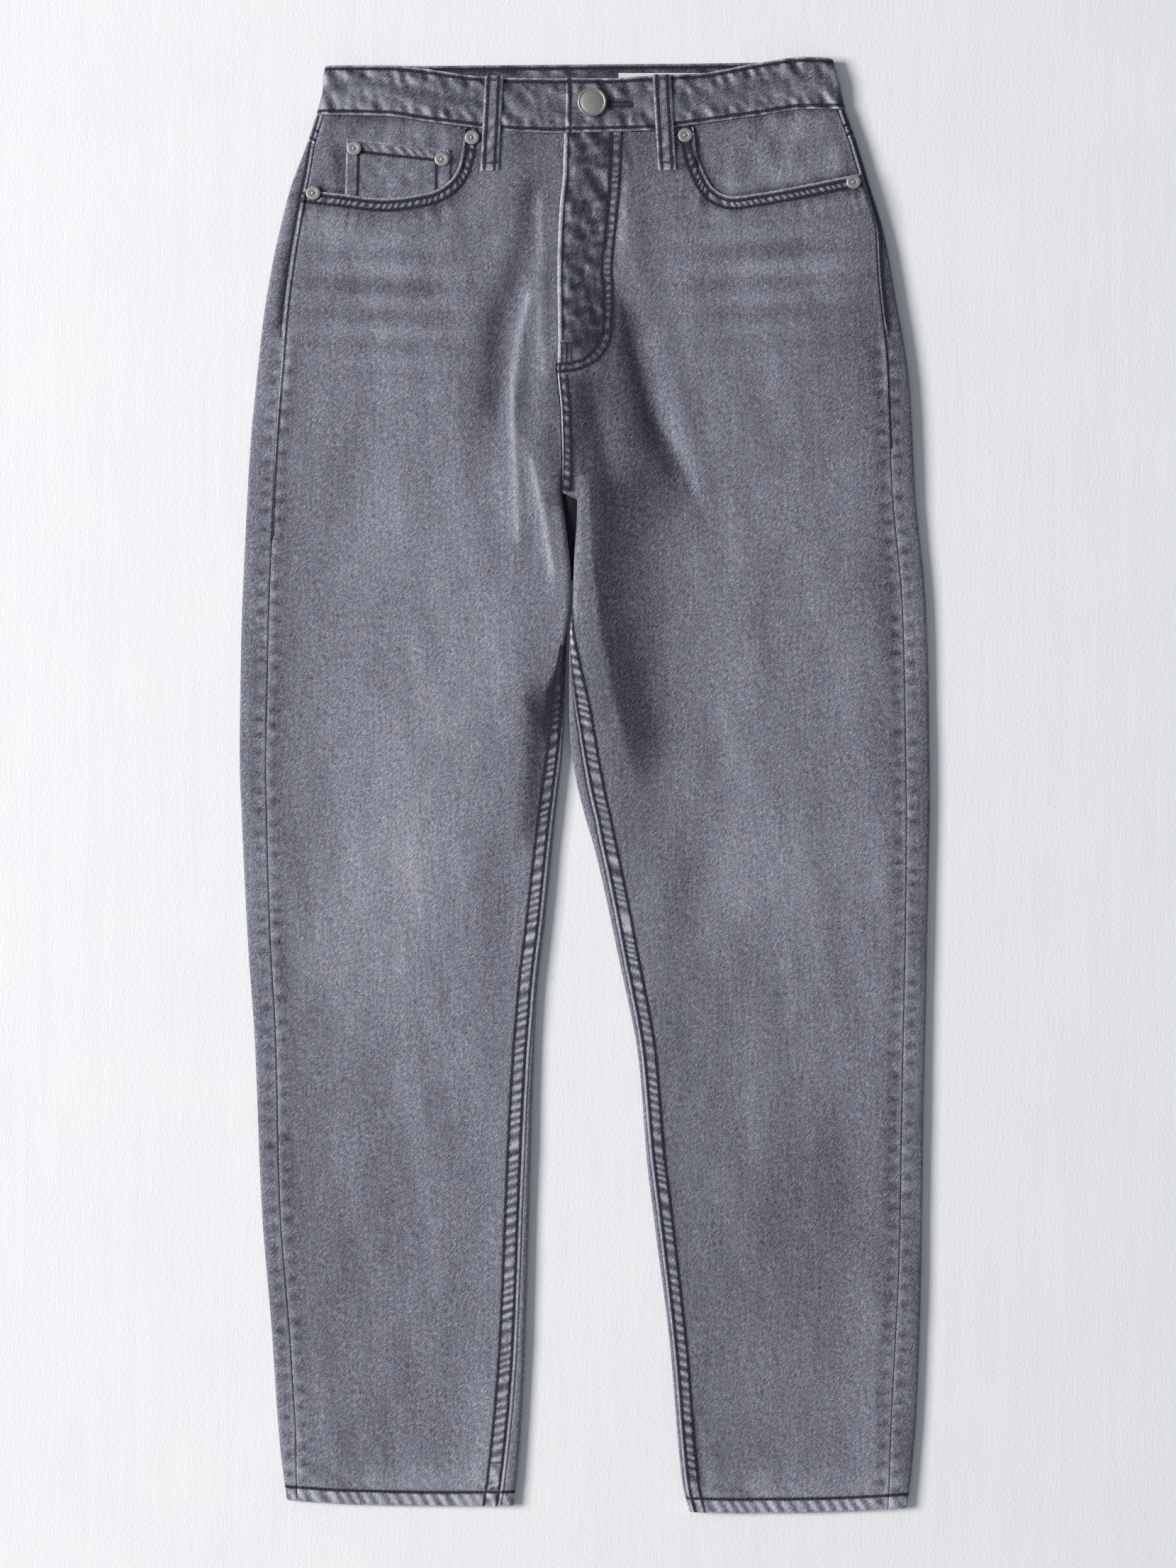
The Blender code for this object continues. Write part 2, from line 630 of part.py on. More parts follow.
def strip(name, x, y, base, thickness, material):
    """A strip whose underside follows the heights in base."""
    inner = np.stack([x, y, base], axis=-1)
    outer = inner + np.array([0, 0, thickness])
    return closed_wall(name, outer, inner, material)


def front_loop(name, side, place, material):
    """Belt loop over the band, sewn down at the band's top and on the front below it."""
    head_x, head_y, foot_x = place
    loop = SIDES[side][0]
    lift = front_lift(side)
    rise = np.linspace(0, 1, 12)[:, None]
    across = np.linspace(-0.5, 0.5, 3)[None, :] * LOOP_WIDTH
    y = mix(head_y - LOOP_LENGTH, head_y, rise) + 0 * across
    x = mix(foot_x, head_x, rise) + across
    on_band = band_face(x, y, side) + SEAM_GAP
    on_front = loop.top(x, y) + lift(x, y) + SEAM_GAP
    base = mix(on_front, on_band, ease(y, 431, 439)) + 0.1
    return strip(name, x, y, base, LOOP_WALL, material)


def back_loop(name, place, material):
    """Belt loop beneath the band and the yoke, flat on the floor."""
    x, head_y = place
    across = np.linspace(-0.5, 0.5, 2)[None, :] * LOOP_WIDTH
    y = np.array([head_y - LOOP_LENGTH, head_y])[:, None] + 0 * across
    return strip(name, x + across + 0 * y, y, 0 * y, CLOTH, material)


def back_pocket(name, side, material):
    """Patch pocket beneath the back: a pointed pentagon, flat on the floor."""
    away = -1 if side == "right" else 1
    outline = [(16, 384), (168, 396), (158, 256), (90, 232), (26, 246)]
    low = [np.array([away * x, y, 0.0]) for x, y in outline]
    high = [point + np.array([0, 0, CLOTH]) for point in low]
    count = len(outline)
    faces = [list(range(count)), [index + count for index in range(count)]]
    for index in range(count):
        after = (index + 1) % count
        faces.append([index, after, after + count, index + count])
    return build_mesh(name, np.array(low + high), faces, material)


def turned(name, profile, place, base, segments, material):
    """A turned piece from (radius, height) rows, its foot flat at the base height."""
    points = [np.array([place[0], place[1], base + profile[0][1]])]
    for radius, height in profile[1:]:
        for step in range(segments):
            turn = 2 * math.pi * step / segments
            points.append(np.array([place[0] + radius * math.cos(turn),
                                    place[1] + radius * math.sin(turn), base + height]))
    rings = len(profile) - 1
    faces = []
    for step in range(segments):
        after = (step + 1) % segments
        faces.append([0, 1 + step, 1 + after])
        for ring in range(rings - 1):
            near, far = 1 + ring * segments, 1 + (ring + 1) * segments
            faces.append([near + step, far + step, far + after, near + after])
    faces.append([1 + (rings - 1) * segments + step for step in range(segments)])
    return build_mesh(name, points, faces, material)


def coin_lift(x, y):
    """Stand of the coin pocket over the facing that it is sewn on."""
    return SEAM_GAP + CLOTH + 0 * x


def rivet(name, place, material):
    """Domed rivet with a small nipple, seated on the highest cloth beneath it."""
    side = "left" if place[0] > 0 else "right"
    lift = coin_lift if "coin" in name else front_lift(side)
    turn = np.linspace(0, 2 * math.pi, 24)
    x = place[0] + RIVET_RADIUS * np.cos(turn)
    y = place[1] + RIVET_RADIUS * np.sin(turn)
    base = (SIDES[side][0].top(x, y) + lift(x, y)).max() + SEAM_GAP
    profile = [(0, 1.9), (1.3, 1.8), (1.8, 1.1), (3.6, 1.2), (RIVET_RADIUS, 0.6), (RIVET_RADIUS, 0)]
    return turned(name, profile, place, base, 16, material)


def tack_button(name, material):
    """Plain domed tack button with a rim, on the buttonhole end of the band."""
    base = band_face(*np.array(BUTTON_AT), "left") + SEAM_GAP
    profile = [(0, 4.3), (3.5, 4.2), (6.4, 3.8), (7.6, 3.3), (8.6, 3.6), (9.5, 3.2),
               (BUTTON_RADIUS, 2.4), (9.2, 1.3), (6, 0.6), (6, 0)]
    return turned(name, profile, BUTTON_AT, base, 28, material)


def waist_label(name, material):
    """Blank label on the inside of the band's back."""
    base = HIP_LIFT + BAND + SEAM_GAP
    x = np.array([23.0, 77.0])[None, :] + np.zeros((2, 1))
    y = np.array([455.0, 482.6])[:, None] + np.zeros((1, 2))
    return strip(name, x, y, base + 0 * x, 1.0, material)


def main():
    for thing in list(bpy.data.objects):
        bpy.data.objects.remove(thing, do_unlink=True)
    denim = finish("washed_denim", (0.19, 0.19, 0.23), 0.9)
    inside = finish("denim_shade", (0.12, 0.12, 0.16), 0.9)
    metal = finish("pewter", (0.32, 0.31, 0.3), 0.35, 1.0)
    white = finish("label_cotton", (0.8, 0.8, 0.8), 0.8)
    for side in ("right", "left"):
        front_panel("front_" + side, side, denim)
        back_panel("back_" + side, side, denim)
        yoke_panel("yoke_" + side, side, denim)
        back_pocket("back_pocket_" + side, side, denim)
        pocket_facing("pocket_facing_" + side, side, inside)
    waistband("waistband", denim)
    fly_shield("fly_shield", inside)
    coin_pocket("coin_pocket", denim)
    for name, place in LOOPS_FRONT.items():
        front_loop(name, "right" if "right" in name else "left", place, denim)
    for name, place in LOOPS_BACK.items():
        back_loop(name, place, denim)
    for name, place in RIVETS_AT.items():
        rivet(name, place, metal)
    tack_button("waist_button", metal)
    waist_label("waist_label", white)
    centre_on_origin()


def centre_on_origin():
    """Move every piece alike, so that the origin is the middle of the garment's underside."""
    corners = np.array([corner.co[:] for thing in bpy.data.objects for corner in thing.data.vertices])
    low, high = corners.min(axis=0), corners.max(axis=0)
    shift = np.array([-(low[0] + high[0]) / 2, -(low[1] + high[1]) / 2, -low[2]])
    for thing in bpy.data.objects:
        thing.location = shift


main()
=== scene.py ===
# %% [markdown]
# # Relaxed fit jeans, laid flat
# A pair of jeans is two flattened tubes of cloth that meet in one at the hips. This lesson
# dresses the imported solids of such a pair: it lays finer cloth on the same surfaces, adds the
# puckers, creases and topstitching that wash and wear bring out, and gives them a washed twill.
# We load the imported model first, because its pieces say where everything lies.

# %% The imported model
import json
import math

import bpy
import numpy as np
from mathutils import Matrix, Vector
from mathutils.bvhtree import BVHTree

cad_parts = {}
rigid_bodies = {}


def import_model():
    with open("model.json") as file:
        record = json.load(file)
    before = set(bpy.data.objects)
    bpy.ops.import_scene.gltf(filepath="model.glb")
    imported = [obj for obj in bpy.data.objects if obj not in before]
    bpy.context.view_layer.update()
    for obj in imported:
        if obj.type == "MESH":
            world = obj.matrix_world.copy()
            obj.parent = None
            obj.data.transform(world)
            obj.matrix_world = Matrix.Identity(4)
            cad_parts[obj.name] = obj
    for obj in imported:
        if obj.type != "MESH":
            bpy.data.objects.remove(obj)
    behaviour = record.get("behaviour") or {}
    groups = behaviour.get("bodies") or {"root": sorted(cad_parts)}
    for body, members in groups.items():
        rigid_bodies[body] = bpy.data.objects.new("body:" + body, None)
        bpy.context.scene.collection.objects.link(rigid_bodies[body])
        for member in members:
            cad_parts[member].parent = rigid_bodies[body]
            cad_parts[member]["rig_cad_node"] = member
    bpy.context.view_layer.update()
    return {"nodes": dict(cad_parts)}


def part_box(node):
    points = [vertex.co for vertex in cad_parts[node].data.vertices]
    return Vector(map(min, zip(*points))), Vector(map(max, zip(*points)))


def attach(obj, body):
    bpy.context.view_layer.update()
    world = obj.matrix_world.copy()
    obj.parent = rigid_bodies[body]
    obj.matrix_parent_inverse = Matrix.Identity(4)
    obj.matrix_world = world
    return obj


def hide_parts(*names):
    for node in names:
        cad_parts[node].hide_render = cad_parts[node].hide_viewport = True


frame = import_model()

MM = 0.001
print("pieces in the packed model:", len(frame["nodes"]))

# %% [markdown]
# ## The drawing
# A pattern maker draws a garment with a few curves: the outline of each leg, the seams, the
# pocket mouths. Each table below is such a curve in millimetres, with the waist towards +Y.
# They are the same curves that the solids were made from, so the fine cloth fits over them.

# %% Curves of the legs
OUTER_RIGHT = (
    (487, -176), (470, -177.6), (453, -182), (430, -189.6), (405, -199), (378, -206),
    (350, -212), (320, -217), (290, -220.5), (235, -226), (177, -229.5), (100, -232.7),
    (20, -233.8), (-25, -232.3), (-110, -228), (-170, -223.7), (-284, -219),
    (-370, -212), (-430, -208), (-457, -205.4), (-488, -201.3))
OUTER_LEFT = (
    (492, 168), (474, 172.8), (456, 177), (437, 183.8), (408, 192.5), (374, 202.6),
    (330, 210.7), (273, 219.8), (196, 224.2), (119, 231.4), (52, 233.3), (-10, 233.8),
    (-92, 232.3), (-236, 229.4), (-332, 228), (-428, 224.6), (-457, 222.2), (-493, 218))
INNER_RIGHT = (
    (198, -15.4), (185, -13.9), (166, -11.5), (141, -9.3), (122, -9.7), (100, -12),
    (62, -13.2), (33, -14.4), (-25, -20.2), (-92, -26.9), (-140, -32.2), (-188, -34.6),
    (-284, -37.4), (-380, -40.3), (-428, -42.7), (-466, -45.6), (-488, -48))
INNER_LEFT = (
    (198, -15.1), (194, -5.2), (180, -5.5), (156, -7.2), (141, -7.9), (122, -8.4),
    (100, -10.3), (62, -10.8), (33, -10.1), (4, -5.8), (-25, 1.4), (-44, 7),
    (-115, 22.6), (-186, 36.5), (-255, 42.2), (-284, 45.6), (-378, 57.6), (-472, 66.1),
    (-492, 70.6))
FRONT_RISE = (
    (456, -14), (415, -14.9), (390, -17.3), (350, -18.7), (301, -18.2), (282, -18.7),
    (254, -16.3), (205, -15.1), (198, -15.25))
BACK_RISE = ((456, 0), (380, -1), (300, -5), (230, -11), (198, -15.25))
SIDE_SEAM_RIGHT = (
    (456, 5.2), (436, 5.7), (408, 11), (350, 14.5), (250, 17.5), (90, 18.7),
    (-120, 15.5), (-331, 12.5), (-425, 12.2), (-488, 7))
SIDE_SEAM_LEFT = (
    (457, 5.4), (416, 5.4), (379, 6), (350, 9.7), (308, 12.6), (250, 15.5), (43, 16.4),
    (-115, 15), (-284, 15), (-425, 17), (-492, 13))
INSEAM_RIGHT = (
    (198, 0), (120, 0.3), (60, 1), (20, 2.3), (-44, 3.3), (-140, 3.6), (-188, 4.9),
    (-284, 6.5), (-380, 7.4), (-488, 10.4))
INSEAM_LEFT = (
    (198, 0), (130, 0.5), (86, 2.6), (54, 6), (22, 9.1), (-19, 8.4), (-44, 6.3),
    (-115, 4.9), (-204, 3.6), (-284, 4.5), (-378, 3.5), (-492, 3.5))
print("rows of leg curves:", len(OUTER_RIGHT) + len(OUTER_LEFT) + len(INNER_RIGHT) + len(INNER_LEFT))

# %% Curves of the waist, hems, yokes and pockets
HEM_RIGHT = ((-202, -483.8), (-150, -487), (-100, -488), (-48, -487.4))
HEM_LEFT = ((70, -491.6), (110, -492.7), (160, -492.2), (218, -489))
WAIST_FRONT = (
    (-182, 453.4), (-136, 453), (-106, 449), (-75, 445.2), (-55, 442.8), (-14, 441.4),
    (10, 441.8), (47, 442.8), (62, 445.2), (117, 453), (148, 457.2), (177, 457.2))
WAIST_BACK = ((-182, 453.4), (0, 452), (120, 453.5), (177, 457.2))
TOP_FRONT = (
    (-176.5, 486.8), (-133, 487), (-75, 480.2), (-55, 478.8), (-14, 478.4), (14, 478),
    (47, 480), (79, 482), (117, 488.7), (148, 492.6), (168, 491.8))
TOP_BACK = ((-176.5, 486.8), (-129, 487.4), (0, 488.6), (102, 489.6), (168, 491.8))
YOKE_RIGHT = ((-188, 437), (-184, 434), (0, 386))
YOKE_LEFT = ((0, 386), (180, 438), (184, 441))
POCKET_RIGHT = (
    (-190.4, 403), (-166, 400), (-136, 397), (-106, 400.8), (-92, 408.2),
    (-85.5, 418), (-82.6, 430), (-81, 444.6))
POCKET_LEFT = (
    (186.2, 413.6), (148, 406), (117, 400.6), (100, 398.5), (88, 403.4), (79, 418.5),
    (75, 431), (73.4, 445.4))
LYING = (
    (500, 10, 7.4, 1.5), (440, 10, 7.2, 1.5), (350, 9.8, 7.2, 1.5),
    (228, 9.2, 6.4, 1.5), (185, 8.6, 5.6, 0), (140, 8, 4.8, 0), (40, 7.6, 3.8, 0),
    (-300, 7.4, 3.4, 0), (-455, 7.2, 3.5, 0), (-477, 7.4, 5.8, 0), (-495, 7.4, 5.8, 0))
BACK_POCKET = ((16, 384), (168, 396), (158, 256), (90, 232), (26, 246))
print("rows of the lying heights (y, at the folds, between them, underside):", len(LYING))

# %% Sizes of the cloth and the trims
CLOTH = 1.2
BAND = 2.2
HEM_WALL = 2.4
HEM_TOP_Y = -478
SEAM_GAP = 0.3
HALF_GAP = SEAM_GAP / 2
LAP = 1.6
BAND_RISE = 1.6
BAND_LAP = BAND + 0.4
BUTTON_END_X = 30
BUTTONHOLE_END_X = -12.5
CROTCH_Y = 198
RISE_END_Y = 238
QUARTER = math.pi / 2
LOOP_WIDTH = 12.2
LOOP_LENGTH = 64
LOOP_WALL = 1.4
RIVET_RADIUS = 4.95
BUTTON_RADIUS = 9.9
BUTTON_AT = (4.9, 461.3)
RIVETS_AT = {
    "rivet_right_side": (-183.5, 400.3),
    "rivet_right_upper": (-76.3, 438.2),
    "rivet_left_upper": (67.9, 439.8),
    "rivet_left_side": (181.6, 407.8),
    "rivet_coin_outer": (-155.9, 430.6),
    "rivet_coin_inner": (-96.6, 423.6),
}
LOOPS_FRONT = {
    "belt_loop_front_right": (-61.2, 479.8, -64.4),
    "belt_loop_front_left": (52, 480.2, 55.8),
}
LOOPS_BACK = {
    "belt_loop_back_right": (-112, 486),
    "belt_loop_back_centre": (0, 487),
    "belt_loop_back_left": (112, 488),
}
button_box = np.array(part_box("waist_button"))
SHIFT = button_box.mean(axis=0) - np.array([BUTTON_AT[0], BUTTON_AT[1], 0]) * MM
SHIFT[2] = 0
print("the frame lies this far from the drawing, in mm:", np.round(SHIFT / MM, 3))

# %% [markdown]
# ## Curves, steps and unevenness
# Three small tools shape everything here: a smooth curve through a table, a smooth step, and a
# seeded sum of sine waves that gives cloth its soft unevenness without any picture.

# %% Curves through tables
def through(rows, column=1):
    """Curve through a table: cubic pieces between rows, with slopes that never overshoot."""
    table = np.array(sorted(rows), dtype=float)
    place, value = table[:, 0], table[:, column]
    step = np.diff(place)
    rise = np.diff(value) / step
    turn = rise[:-1] * rise[1:] > 0
    mean = 2 * rise[:-1] * rise[1:] / np.where(turn, rise[:-1] + rise[1:], 1)
    slope = np.concatenate(([rise[0]], np.where(turn, mean, 0), [rise[-1]]))

    def curve(at):
        at = np.asarray(at, dtype=float)
        cell = np.clip(np.searchsorted(place, at) - 1, 0, len(step) - 1)
        t = np.clip((at - place[cell]) / step[cell], 0, 1)
        return (value[cell] * (1 + 2 * t) * (1 - t) ** 2
                + slope[cell] * step[cell] * t * (1 - t) ** 2
                + value[cell + 1] * t * t * (3 - 2 * t)
                + slope[cell + 1] * step[cell] * t * t * (t - 1))
    return curve


def ease(value, start, end):
    """0 before start, 1 after end and a smooth step between; end may be below start."""
    t = np.clip((value - start) / (end - start), 0, 1)
    return t * t * (3 - 2 * t)


def mix(first, second, share):
    """The value that lies a share of the way from first to second."""
    return first + (second - first) * share


def walk(rows, step=1.0):
    """Points of an open outline, one for each step of its length, and the length walked."""
    outline = np.array(rows, dtype=float)
    walked = np.concatenate(([0], np.cumsum(np.hypot(*np.diff(outline, axis=0).T))))
    at = np.linspace(0, walked[-1], max(2, int(round(walked[-1] / step)) + 1))
    x, y = (through(zip(walked, values))(at) for values in outline.T)
    return x, y, at


def beside_path(rows, x, y):
    """Signed distance to an outline, positive to the left of its direction, and the way along it."""
    px, py, at = walk(rows)
    away = (x[..., None] - px) ** 2 + (y[..., None] - py) ** 2
    near = away.argmin(axis=-1)
    tx, ty = np.gradient(px)[near], np.gradient(py)[near]
    dx, dy = x - px[near], y - py[near]
    side = np.sign(tx * dy - ty * dx)
    along = at[near] + (dx * tx + dy * ty) / np.hypot(tx, ty)
    return side * np.sqrt(away.min(axis=-1)), along


def bell(value, middle, half_width):
    """A bell curve: 1 at the middle, a third at the half width."""
    return np.exp(-((value - middle) / half_width) ** 2)


# %% Seeded unevenness
def waves(x, y, length, seed, tall=1.0):
    """Soft unevenness: many sine waves of random direction and phase near one wavelength."""
    draw = np.random.default_rng(seed)
    count = 22
    turn = draw.uniform(0, math.pi, count)
    pitch = 2 * math.pi / (length * draw.uniform(0.7, 1.6, count))
    phase = draw.uniform(0, 2 * math.pi, count)
    total = 0
    for angle, wave, start in zip(turn, pitch, phase):
        total = total + np.sin(wave * (math.cos(angle) * x + math.sin(angle) * y / tall) + start)
    return total / math.sqrt(count / 2)


def streaks(x, y, angle, width, seed):
    """Uneven ridges that run about one way: waves across a direction given in degrees."""
    draw = np.random.default_rng(seed)
    count = 16
    turn = np.radians(angle + 90 + 16 * draw.standard_normal(count))
    pitch = 2 * math.pi / (width * draw.uniform(0.7, 1.8, count))
    phase = draw.uniform(0, 2 * math.pi, count)
    total = 0
    for across, wave, start in zip(turn, pitch, phase):
        total = total + np.sin(wave * (math.cos(across) * x + math.sin(across) * y) + start)
    return total / math.sqrt(count / 2)


def wander(along, length, seed):
    """The same along a line: a slow wandering value of about one either way."""
    return waves(along, 0 * along, length, seed)


print("a sample of the unevenness:", np.round(waves(np.arange(4.0) * 9, np.zeros(4), 30, 1), 2))

# %% [markdown]
# ## Folds and creases
# The solids hold the largest folds. The cloth adds the sharper ones that a step away still
# shows: the vertical creases beside the fly, the valleys of the inner thigh and the turned
# corners of the hems. Each is a line with a bell across it, so it fades out at both ends.

# %% Folds of the solids and finer creases
LONG_CREASE = 40
CREASE_END = 12
FOLDS = (
    # x and y of both ends, half width, height
    (-34, 350, -30, 276, 5, 1.2), (-36, 340, -49, 258, 8, 2.2), (-49, 258, -45, 167, 8, 2.2),
    (-36, 228, -20, 143, 7, 2.0), (31, 327, 50, 240, 8, -1.5), (50, 240, 66, 196, 8, -1.2),
    (46, 322, 78, 208, 10, 2.4), (4, 264, 15, 212, 6, -1.2), (6, 229, 9, 160, 8, 1.8),
    (-40, 60, -25, 36, 6, 1.6), (-120, 345, -80, 372, 14, 1.3), (95, 352, 140, 330, 14, 1.3),
    (-150, 60, -80, -20, 30, 1.6), (110, 40, 150, -60, 30, 1.6), (-183, -464, -170, -474, 6, 1.4),
    (76, -430, 90, -474, 7, 1.4))
CREASES = (
    # path, half width, height, paleness: pale on ridges as wear and painted highlight, negative in
    # valleys as painted shade
    (((-31, 408), (-30, 350), (-29.8, 304), (-25.4, 270)), 2.8, 0.8, 0.24),
    (((-36, 340), (-45, 299), (-49, 258), (-47.5, 212), (-45, 160)), 2.6, 0.9, 0.25),
    (((-36.5, 228), (-33, 205), (-28, 185), (-25, 165), (-20, 135)), 2.6, 1.0, 0.24),
    (((-5.0, 222), (-3.2, 196)), 1.8, 0.2, 0.14),
    (((-4, 180), (-3, 140), (-4, 105)), 3.2, 0.2, 0.05),
    (((-38, 412), (-40, 380), (-46, 350), (-58, 318), (-62, 280)), 7, -1.2, -0.04),
    (((30, 330), (36, 288), (48.5, 243), (63.8, 204)), 7, -1.0, -0.12),
    (((44, 312), (56, 262), (72, 216)), 9, 0.6, 0.05),
    (((3.8, 266), (14.9, 210)), 5, -0.7, -0.10),
    (((6.2, 229), (10, 190), (9.1, 156)), 6, 0.5, 0.04),
    (((28, 414), (26.5, 388), (27, 360)), 3, 0.5, 0.18),
    (((-38, 58), (-31, 47), (-26, 38)), 3.5, -0.8, -0.14),
    (((-24, 250), (-21, 225), (-19, 206)), 4, -0.6, -0.10),
    (((-182.9, -464), (-171.9, -473.5)), 3, -0.8, -0.12),
    (((-176, -462), (-161.5, -473.5)), 3, -0.8, -0.12),
    (((-195.4, -449.6), (-189.7, -456.8)), 3, -0.6, -0.10),
    (((72.9, -422), (75.5, -447.5), (79.7, -468), (87, -478.7)), 3, -1.0, -0.16),
    (((88.5, -474.6), (100, -477.6)), 2.6, -0.7, -0.12),
    (((103.6, -475.6), (112, -480)), 2.6, -0.6, -0.10),
    (((-178, 350), (-150, 360), (-118, 356)), 9, 0.3, 0.05),
    (((-176, 327), (-140, 336), (-100, 330)), 8, -0.3, -0.05),
    (((100, 372), (140, 366), (178, 374)), 8, -0.3, -0.05),
    (((96, 338), (130, 346), (172, 340)), 9, 0.3, 0.05),
)


def fold_height(x, y):
    """Sum of the folds: each a bell across its line, fading out past both ends."""
    height = np.zeros(np.broadcast(x, y).shape)
    for x1, y1, x2, y2, half_width, high in FOLDS:
        run = math.hypot(x2 - x1, y2 - y1)
        ahead = ((x - x1) * (x2 - x1) + (y - y1) * (y2 - y1)) / run
        across = ((x - x1) * (y2 - y1) - (y - y1) * (x2 - x1)) / run
        past = np.maximum(np.maximum(-ahead, ahead - run), 0)
        height = height + high * np.exp(-(across / half_width) ** 2 - (past / (2 * half_width)) ** 2)
    return height


def near_path(rows, step, half_width, x, y):
    """Which points lie near a path, the bell of their distance, and their nearest step of it."""
    px, py, at = walk(rows, step)
    reach = 3 * half_width
    near = ((x > px.min() - reach) & (x < px.max() + reach)
            & (y > py.min() - reach) & (y < py.max() + reach))
    away = (x[near][:, None] - px) ** 2 + (y[near][:, None] - py) ** 2
    return near, np.exp(-away.min(axis=-1) / half_width ** 2), away.argmin(axis=-1), px, at


def crease_sum(x, y, column, creases=CREASES, fading=True):
    """Sum of the creases: a bell of the distance to each path, times the chosen column."""
    x, y = np.broadcast_arrays(x, y)
    total = np.zeros(x.shape)
    for crease in creases:
        near, across, nearest, _, at = near_path(crease[0], 2.0, crease[1], x, y)
        ends = 1.0
        if fading and at[-1] > LONG_CREASE:
            ends = (ease(at, 0, CREASE_END) * ease(at, at[-1], at[-1] - CREASE_END))[nearest]
        total[near] += crease[column] * ends * across
    return total


def softness(x, y):
    """Soft unevenness of cloth at rest: long swells, then shorter dents, in millimetres."""
    return 0.30 * waves(x, y, 46, 3, 1.8) + 0.12 * waves(x, y, 19, 5, 1.5)


print("folds:", len(FOLDS), "creases:", len(CREASES))

# %% [markdown]
# ## A loop of cloth pressed flat
# Seen from a hem, a leg is a loop: it lies flat beneath, rolls round at both folds and dips
# between them on top. One function of the way round the loop and of y gives every point of it,
# and each panel is a stretch of that way between two seams.

# %% The loop as a surface
edge_top = through(LYING, 1)
middle_top = through(LYING, 2)
underside = through(LYING, 3)
waist_front = through(WAIST_FRONT)
waist_back = through(WAIST_BACK)
top_front = through(TOP_FRONT)
top_back = through(TOP_BACK)
front_rise = through(FRONT_RISE)
back_rise = through(BACK_RISE)
outer_right = through(OUTER_RIGHT)
outer_left = through(OUTER_LEFT)


def beside_fold(distance, flat, fall):
    """1 along a fold of the cloth, as far as flat, then a bell that falls away."""
    return np.exp(-(np.maximum(distance - flat, 0) / fall) ** 2)


class Loop:
    """A loop of cloth as a function of the way round it and of y: outer fold, over, under."""

    def __init__(self, side, outer, front_inner, back_inner):
        self.inward = -side
        self.outer = outer
        self.front_inner = front_inner
        self.back_inner = back_inner

    def roll(self, y):
        """1 where the inner end is a round fold, 0 where it is a seam lying flat."""
        return ease(y, RISE_END_Y, CROTCH_Y)

    def top(self, x, y):
        """Height of the upper face: high beside the folds, lower between, plus the creases."""
        from_outer = np.abs(x - self.outer(y))
        from_inner = np.abs(x - self.front_inner(y))
        raised = 1 - (1 - beside_fold(from_outer, 14, 32)) * (
            1 - self.roll(y) * beside_fold(from_inner, 9, 26))
        fine = softness(x, y) * (1 - raised * 0.5) + crease_sum(x, y, 2)
        return mix(middle_top(y), edge_top(y), raised) + fold_height(x, y) * (1 - raised * 0.6) + fine

    def edge(self, y):
        """Height of the cloth at its folds."""
        return edge_top(y)

    def radius(self, y):
        """Radius of a fold: half of its height above the underside."""
        return (self.edge(y) - underside(y)) / 2

    def lengths(self, y):
        """Length of the upper and of the lower way from fold to fold."""
        spare = (math.pi - 2) * self.radius(y)
        upper = np.abs(self.front_inner(y) - self.outer(y)) + spare
        lower = np.abs(self.back_inner(y) - self.outer(y)) + spare
        return upper, lower

    def along(self, inset, y):
        """Way round from a fold to the point that lies an inset from it, seen from above."""
        radius = self.radius(y)
        near = radius * np.arccos(np.clip(1 - inset / radius, -1, 1))
        return np.where(inset < radius, near, QUARTER * radius + inset - radius)

    def point(self, way, y, lift=None):
        """Point of the outer face: quarter turns at the folds, the top's height between them."""
        upper, lower = self.lengths(y)
        way = np.mod(way, upper + lower)
        beneath = way > upper
        way = np.where(beneath, upper + lower - way, way)
        rest = np.where(beneath, lower, upper) - way
        radius = self.radius(y)
        roll = self.roll(y)
        outer_turn = np.clip(way / radius, 0, QUARTER)
        inner_turn = np.clip(rest / radius, 0, QUARTER)
        from_outer = radius * (1 - np.cos(outer_turn)) + np.maximum(way - QUARTER * radius, 0)
        from_inner = radius * mix(inner_turn / QUARTER, 1 - np.cos(inner_turn), roll)
        inner = np.where(beneath, self.back_inner(y), self.front_inner(y))
        x = np.where(rest < QUARTER * radius, inner - self.inward * from_inner,
                     self.outer(y) + self.inward * from_outer)
        share = np.sin(outer_turn) * (1 - roll * (1 - np.sin(inner_turn)))
        middle = underside(y) + radius
        high = self.top(x, y)
        if lift is not None:
            high = high + lift(x, y)
        z = np.where(beneath, mix(middle, underside(y), share), mix(middle, high, share))
        return np.stack([x, y + 0 * x, z], axis=-1)


class Band(Loop):
    """The waistband: one loop from the right fold over the top to the left fold."""

    def roll(self, y):
        """Both ends are round folds."""
        return np.ones(np.shape(y))

    def edge(self, y):
        """The band's folds stand a little higher than those of the legs."""
        return edge_top(y) + 0.8

    def top(self, x, y):
        """Height of the band's upper face: like a leg's, but raised, with its own creases."""
        from_fold = np.minimum(np.abs(x - self.outer(y)), np.abs(x - self.front_inner(y)))
        raised = beside_fold(from_fold, 14, 30)
        return (mix(middle_top(y) + BAND_RISE, self.edge(y), raised)
                + 0.7 * softness(x, y) + band_creases(x, y, 2))


